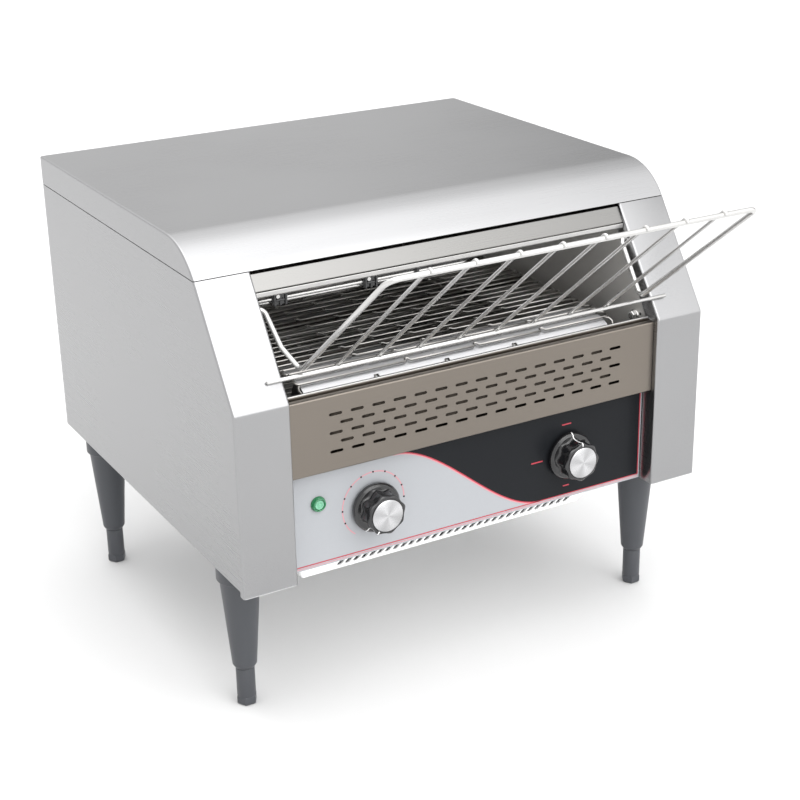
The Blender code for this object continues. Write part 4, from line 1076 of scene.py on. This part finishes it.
def thermostat_tubes():
    """Bulb and capillary tube under the lintel, with a black sleeve, a strap and clips."""
    low, high = span("sensor_bulb")
    clamp_low, clamp_high = span("sensor_clamp_left")
    y = (clamp_low.y + clamp_high.y) / 2
    z = (low.z + high.z) / 2
    bend = 8 * MM

    def at(x, back, up):
        """A point at an x in mm, that far behind and above the bulb's centre line."""
        return Vector((x * MM, y + back * MM, z + up * MM))

    left = low.x / MM
    tube("thermostat_bulb", [at(left, 0, 0), at(20, 0, 0), at(29, 7, 0)], 1.7 * MM, CHROME,
         bend, 14, replaces=("sensor_bulb",))
    tube("capillary_tube", [at(left, 4.5, -3.8), at(-30, 4.5, -3.8), at(-18, 10, -3.8)],
         1.2 * MM, CHROME, bend)
    tube("bulb_sleeve", [at(-58, -2.2, 3.4), at(-20, -2.2, 3.4), at(18, -2.2, 3.4),
                         at(26, 0, 2.6), at(32, 4, 1.6)], 1.5 * MM, BAKELITE)
    strap = bmesh.new()
    box_into(strap, at(-24, -4.4, -4.5), at(-21.6, -3.6, 9))
    piece("bulb_strap", strap, BAKELITE, smooth=0)
    for label in ("left", "middle"):
        clip(label, "sensor_clamp_" + label, z)


def clip(label, node, z):
    """Black clip: a ridged block with a lip that grips the bulb, and a screw."""
    low, high = span(node)
    width = high.x - low.x
    ridge = 0.9 * MM
    proud = 1.4 * MM
    bm = bmesh.new()
    box_into(bm, low, high)
    for share in (0.12, 0.5, 0.88):
        x = low.x + width * share
        box_into(bm, (x - ridge, low.y - proud, low.z - 0.6 * MM),
                 (x + ridge, low.y + MM, high.z - 1.5 * MM))
    box_into(bm, (low.x + 2 * MM, low.y - 1.8 * MM, z - 1 * MM),
             (high.x - 3 * MM, low.y, z + 0.8 * MM))
    bevelled(piece("bulb_clip_" + label, bm, BAKELITE, replaces=(node,), smooth=0), 0.5 * MM)
    screw = 1.5 * MM
    head = Vector((low.x + width * 0.3, low.y - proud, high.z - 3 * MM))
    turned("clip_screw_" + label, [(screw, 0), (screw, 0.7 * MM), (0, 1.0 * MM)], CHROME,
           Matrix.Translation(head) @ TO_FRONT, steps=16)


def fasteners():
    """Screws that hold the rear panel and the cover's back edge."""
    edge = 195 * MM
    top = 330 * MM
    places = [(side * edge, z) for side in (-1, 1) for z in (135 * MM, 215 * MM, top)]
    for number, (x, z) in enumerate([*places, (0, top), (60 * MM, 132 * MM)]):
        pan_screw(f"back_screw_{number}", Matrix.Translation((x, DEPTH, z)) @ TO_BACK,
                  3.2 * MM)


def inside():
    wire_belt()
    nose_guide()
    chamber()
    thermostat_tubes()


# ---------------------------------------------------------------- rack

def rack_line(low, slope):
    """Right half of the frame wire, from its hook to the middle of the top rail."""
    top = low + slope * RACK_LENGTH
    right = Vector((RACK_HALF, 0, 0))
    return [HOOK, Vector((CHEEK_X - 4.5 * MM, HOOK.y, HOOK.z)),
            Vector((157 * MM, 26 * MM, 300 * MM)),
            low + right + slope * 2 * MM, top + right, top]


def rack():
    """Chromed loading rack: bent frame, lower rail and eight bread wires looped at the top."""
    rail_y, rail_z = on_slant(LOW_RAIL_ALONG, RAIL_WIRE + GAP)
    low_rail = Vector((0, rail_y, rail_z))
    slope = Vector((0, -math.cos(RACK_ANGLE), math.sin(RACK_ANGLE)))
    normal = Vector((0, math.sin(RACK_ANGLE), math.cos(RACK_ANGLE)))
    frame_low = low_rail + Vector((0, 0, RAIL_WIRE + FRAME_WIRE - FRAME_WELD))
    right = rack_line(frame_low, slope)
    mirrored = [Vector((-p.x, p.y, p.z)) for p in reversed(right[:-1])]
    bm = bmesh.new()
    sweep(bm, rounded(right[:-1] + mirrored, 8.5 * MM, 7), FRAME_WIRE, 14)
    rail_half = Vector((177.2 * MM, 0, 0))
    sweep(bm, [low_rail - rail_half, low_rail, low_rail + rail_half], RAIL_WIRE, 12)
    lift = FRAME_WIRE + BREAD_WIRE - LOOP_WELD
    loop = [math.radians(degrees) for degrees in range(0, 121, 20)]
    for number in range(BREAD_WIRES):
        side = Vector(((number - (BREAD_WIRES - 1) / 2) * BREAD_PITCH, 0, 0))
        start = low_rail + side + normal * (RAIL_WIRE + BREAD_WIRE - RAIL_WELD)
        rail = frame_low + side + slope * RACK_LENGTH
        points = [start - slope * 4.4 * MM, start + slope * 5 * MM]
        points += [rail + (normal * math.cos(turn) + slope * math.sin(turn)) * lift
                   for turn in loop]
        sweep(bm, points, BREAD_WIRE, 10)
    piece("wire_rack", bm, CHROME, "rack", ("loading_rack",), smooth=60)


# ---------------------------------------------------------------- legs

def legs():
    """Moulded legs and their levelling feet."""
    for end in ("front", "back"):
        for hand in ("left", "right"):
            label = f"{end}_{hand}"
            low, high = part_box("leg_" + label)
            place = ((low.x + high.x) / 2, (low.y + high.y) / 2, 0)
            rim = (high.x - low.x) / 2
            top = high.z
            bottom = low.z
            profile = [(0, top), (rim, top), (rim, top - 12.4 * MM),
                       (15.7 * MM, top - 13.6 * MM), (9.7 * MM, bottom + 3.2 * MM),
                       (7.9 * MM, bottom + 0.2 * MM), (4.4 * MM, bottom)]
            turned("leg_moulding_" + label, profile, LEG_PLASTIC, radius=0.7 * MM, steps=48,
                   place=place, replaces=("leg_" + label,))
            foot(label, f"foot_{end[0]}{hand[0]}", place, bottom)


def foot(label, body, place, leg_bottom):
    """Screw foot: round sleeve over a hexagon with chamfered ends, and its threaded rod."""
    node = "foot_" + label
    top = leg_bottom - GAP
    rod_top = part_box(node)[1].z
    hexagon = 8 * MM
    corner = 8.3 * MM
    sleeve = 7.5 * MM
    rod = 4 * MM
    chamfer = 6.9 * MM
    bm = bmesh.new()
    outline = rounded([(0, top), (sleeve, top), (sleeve, hexagon - MM), (0, hexagon - MM)],
                      0.5 * MM, 3)
    lathe(bm, [tuple(point) for point in outline[:-1]], 40)
    lathe(bm, [(chamfer, hexagon), (corner, hexagon - 1.2 * MM), (corner, 1.4 * MM),
               (chamfer, 0), (0, 0)], 6)
    lathe(bm, [(0, hexagon), (chamfer, hexagon)], 6)
    lathe(bm, [(0, rod_top), (rod, rod_top), (rod, top)], 20)
    solid("foot_moulding_" + label, bm, LEG_PLASTIC, body=body, replaces=(node,), place=place,
          smooth=30)


# ---------------------------------------------------------------- carried-over nodes

def carried_nodes():
    """Give the CAD nodes that stay visible their finishes."""
    finishes = (
        (STEEL_SIDE, ["rear_panel"]),
        # The toast slide and crumb tray take the stainless painted darker as shade.
        (STEEL_SHADED, ["toast_slide", "crumb_tray"]),
        (LINER, ["left_chamber_wall", "right_chamber_wall", "ceiling_reflector"]),
        (DARK_GALVANISED, ["chamber_floor"]),
        (GALVANISED, ["base_plate", "motor_bracket", "speed_regulator"]),
        (BAKELITE, ["rotary_switch", "cable_gland"]),
        (CERAMIC, ["terminal_block"]),
        (MOTOR_PAINT, ["gear_motor"]),
        (BRONZE, ["drive_bearing_left", "drive_bearing_right"]),
        (DARK_STEEL, ["drive_chain", "drive_shaft", "motor_sprocket", "driven_sprocket",
                      "drive_sprocket_left", "drive_sprocket_right", "nose_rod",
                      "nose_disc_left", "nose_disc_right"]),
        (SHEATH, [f"{level}_heater_{n}" for level in ("upper", "lower") for n in (1, 2, 3)]),
    )
    for mat, names in finishes:
        for name in names:
            for slot in NODES[name].material_slots:
                slot.material = mat


# ---------------------------------------------------------------- studio

CAMERA_PLACE = Vector((-631.5, -979.4, 710.6)) * MM
CAMERA_YAW = math.radians(29.615)
CAMERA_PITCH = math.radians(22.231)
CAMERA_ROLL = math.radians(-1.115)
CAMERA_LENS = 74.21


def camera():
    """The camera, in front and to the left, aimed down at the oven."""
    data = bpy.data.cameras.new("camera")
    data.lens = CAMERA_LENS
    data.sensor_width = 36.0
    obj = add_object("camera", data)
    turn = (Matrix.Rotation(-CAMERA_YAW, 4, 'Z')
            @ Matrix.Rotation(math.pi / 2 - CAMERA_PITCH, 4, 'X')
            @ Matrix.Rotation(CAMERA_ROLL, 4, 'Z'))
    obj.matrix_world = Matrix.Translation(CAMERA_PLACE + Vector((0, FRONT, 0))) @ turn
    bpy.context.scene.camera = obj


def floor():
    """Large pale floor."""
    half = 14.0
    bm = bmesh.new()
    bmesh.ops.create_grid(bm, x_segments=4, y_segments=4, size=half)
    mesh = to_mesh("floor", bm)
    obj = add_object("floor", mesh)
    mesh.materials.append(finish("floor", "", (0.62, 0.62, 0.62), 0.9,
                                 Specular_IOR_Level=0.1))


def sky():
    """Soft white surround: bright in front, greyer behind and towards both sides."""
    world = bpy.data.worlds.new("studio")
    bpy.context.scene.world = world
    world.use_nodes = True
    tree = world.node_tree
    place = tree.nodes.new('ShaderNodeTexCoord')
    split = tree.nodes.new('ShaderNodeSeparateXYZ')
    tree.links.new(place.outputs["Generated"], split.inputs["Vector"])
    across, back, up = split.outputs

    def fade(source, *ends):
        return map_range(tree, source, *ends, kind='SMOOTHSTEP')

    rise = fade(up, 0.28, 0.55, 0.79, 1.6)
    aslant = calculate(tree, 'MULTIPLY_ADD', across, 0.6, back)
    depth = fade(aslant, 0.3, 0.95, 2.9, rise)
    right = fade(across, 0.44, 0.64, 1.0, 0.55)
    left = fade(across, -0.6, -0.1, 0.42, 1.0)
    strength = calculate(tree, 'MULTIPLY', depth, calculate(tree, 'MULTIPLY', left, right))
    background = tree.nodes["Background"]
    tree.links.new(strength, background.inputs["Strength"])
    background.inputs["Color"].default_value = (1, 1, 1, 1)


def area_light(name, place, target, size, power):
    data = bpy.data.lights.new(name, 'AREA')
    data.shape = 'RECTANGLE'
    data.size = size[0]
    data.size_y = size[1]
    data.energy = power
    obj = add_object(name, data)
    obj.location = place
    aim = Vector(target) - Vector(place)
    obj.rotation_euler = aim.to_track_quat('-Z', 'Y').to_euler()


def studio():
    floor()
    sky()
    area_light("front_box", (0.5, -2.2, 2.2), (0, 0, 0.25), (1.8, 1.4), 12)
    area_light("top_box", (-0.6, -0.3, 2.6), (0, 0, 0.3), (2.2, 2.2), 12)
    bpy.context.scene.view_settings.view_transform = 'Standard'


camera()
studio()
housing()
controls()
inside()
fasteners()
rack()
legs()
carried_nodes()


def corners(box):
    """A box as plain lists of numbers."""
    return [[float(value) for value in corner] for corner in box]
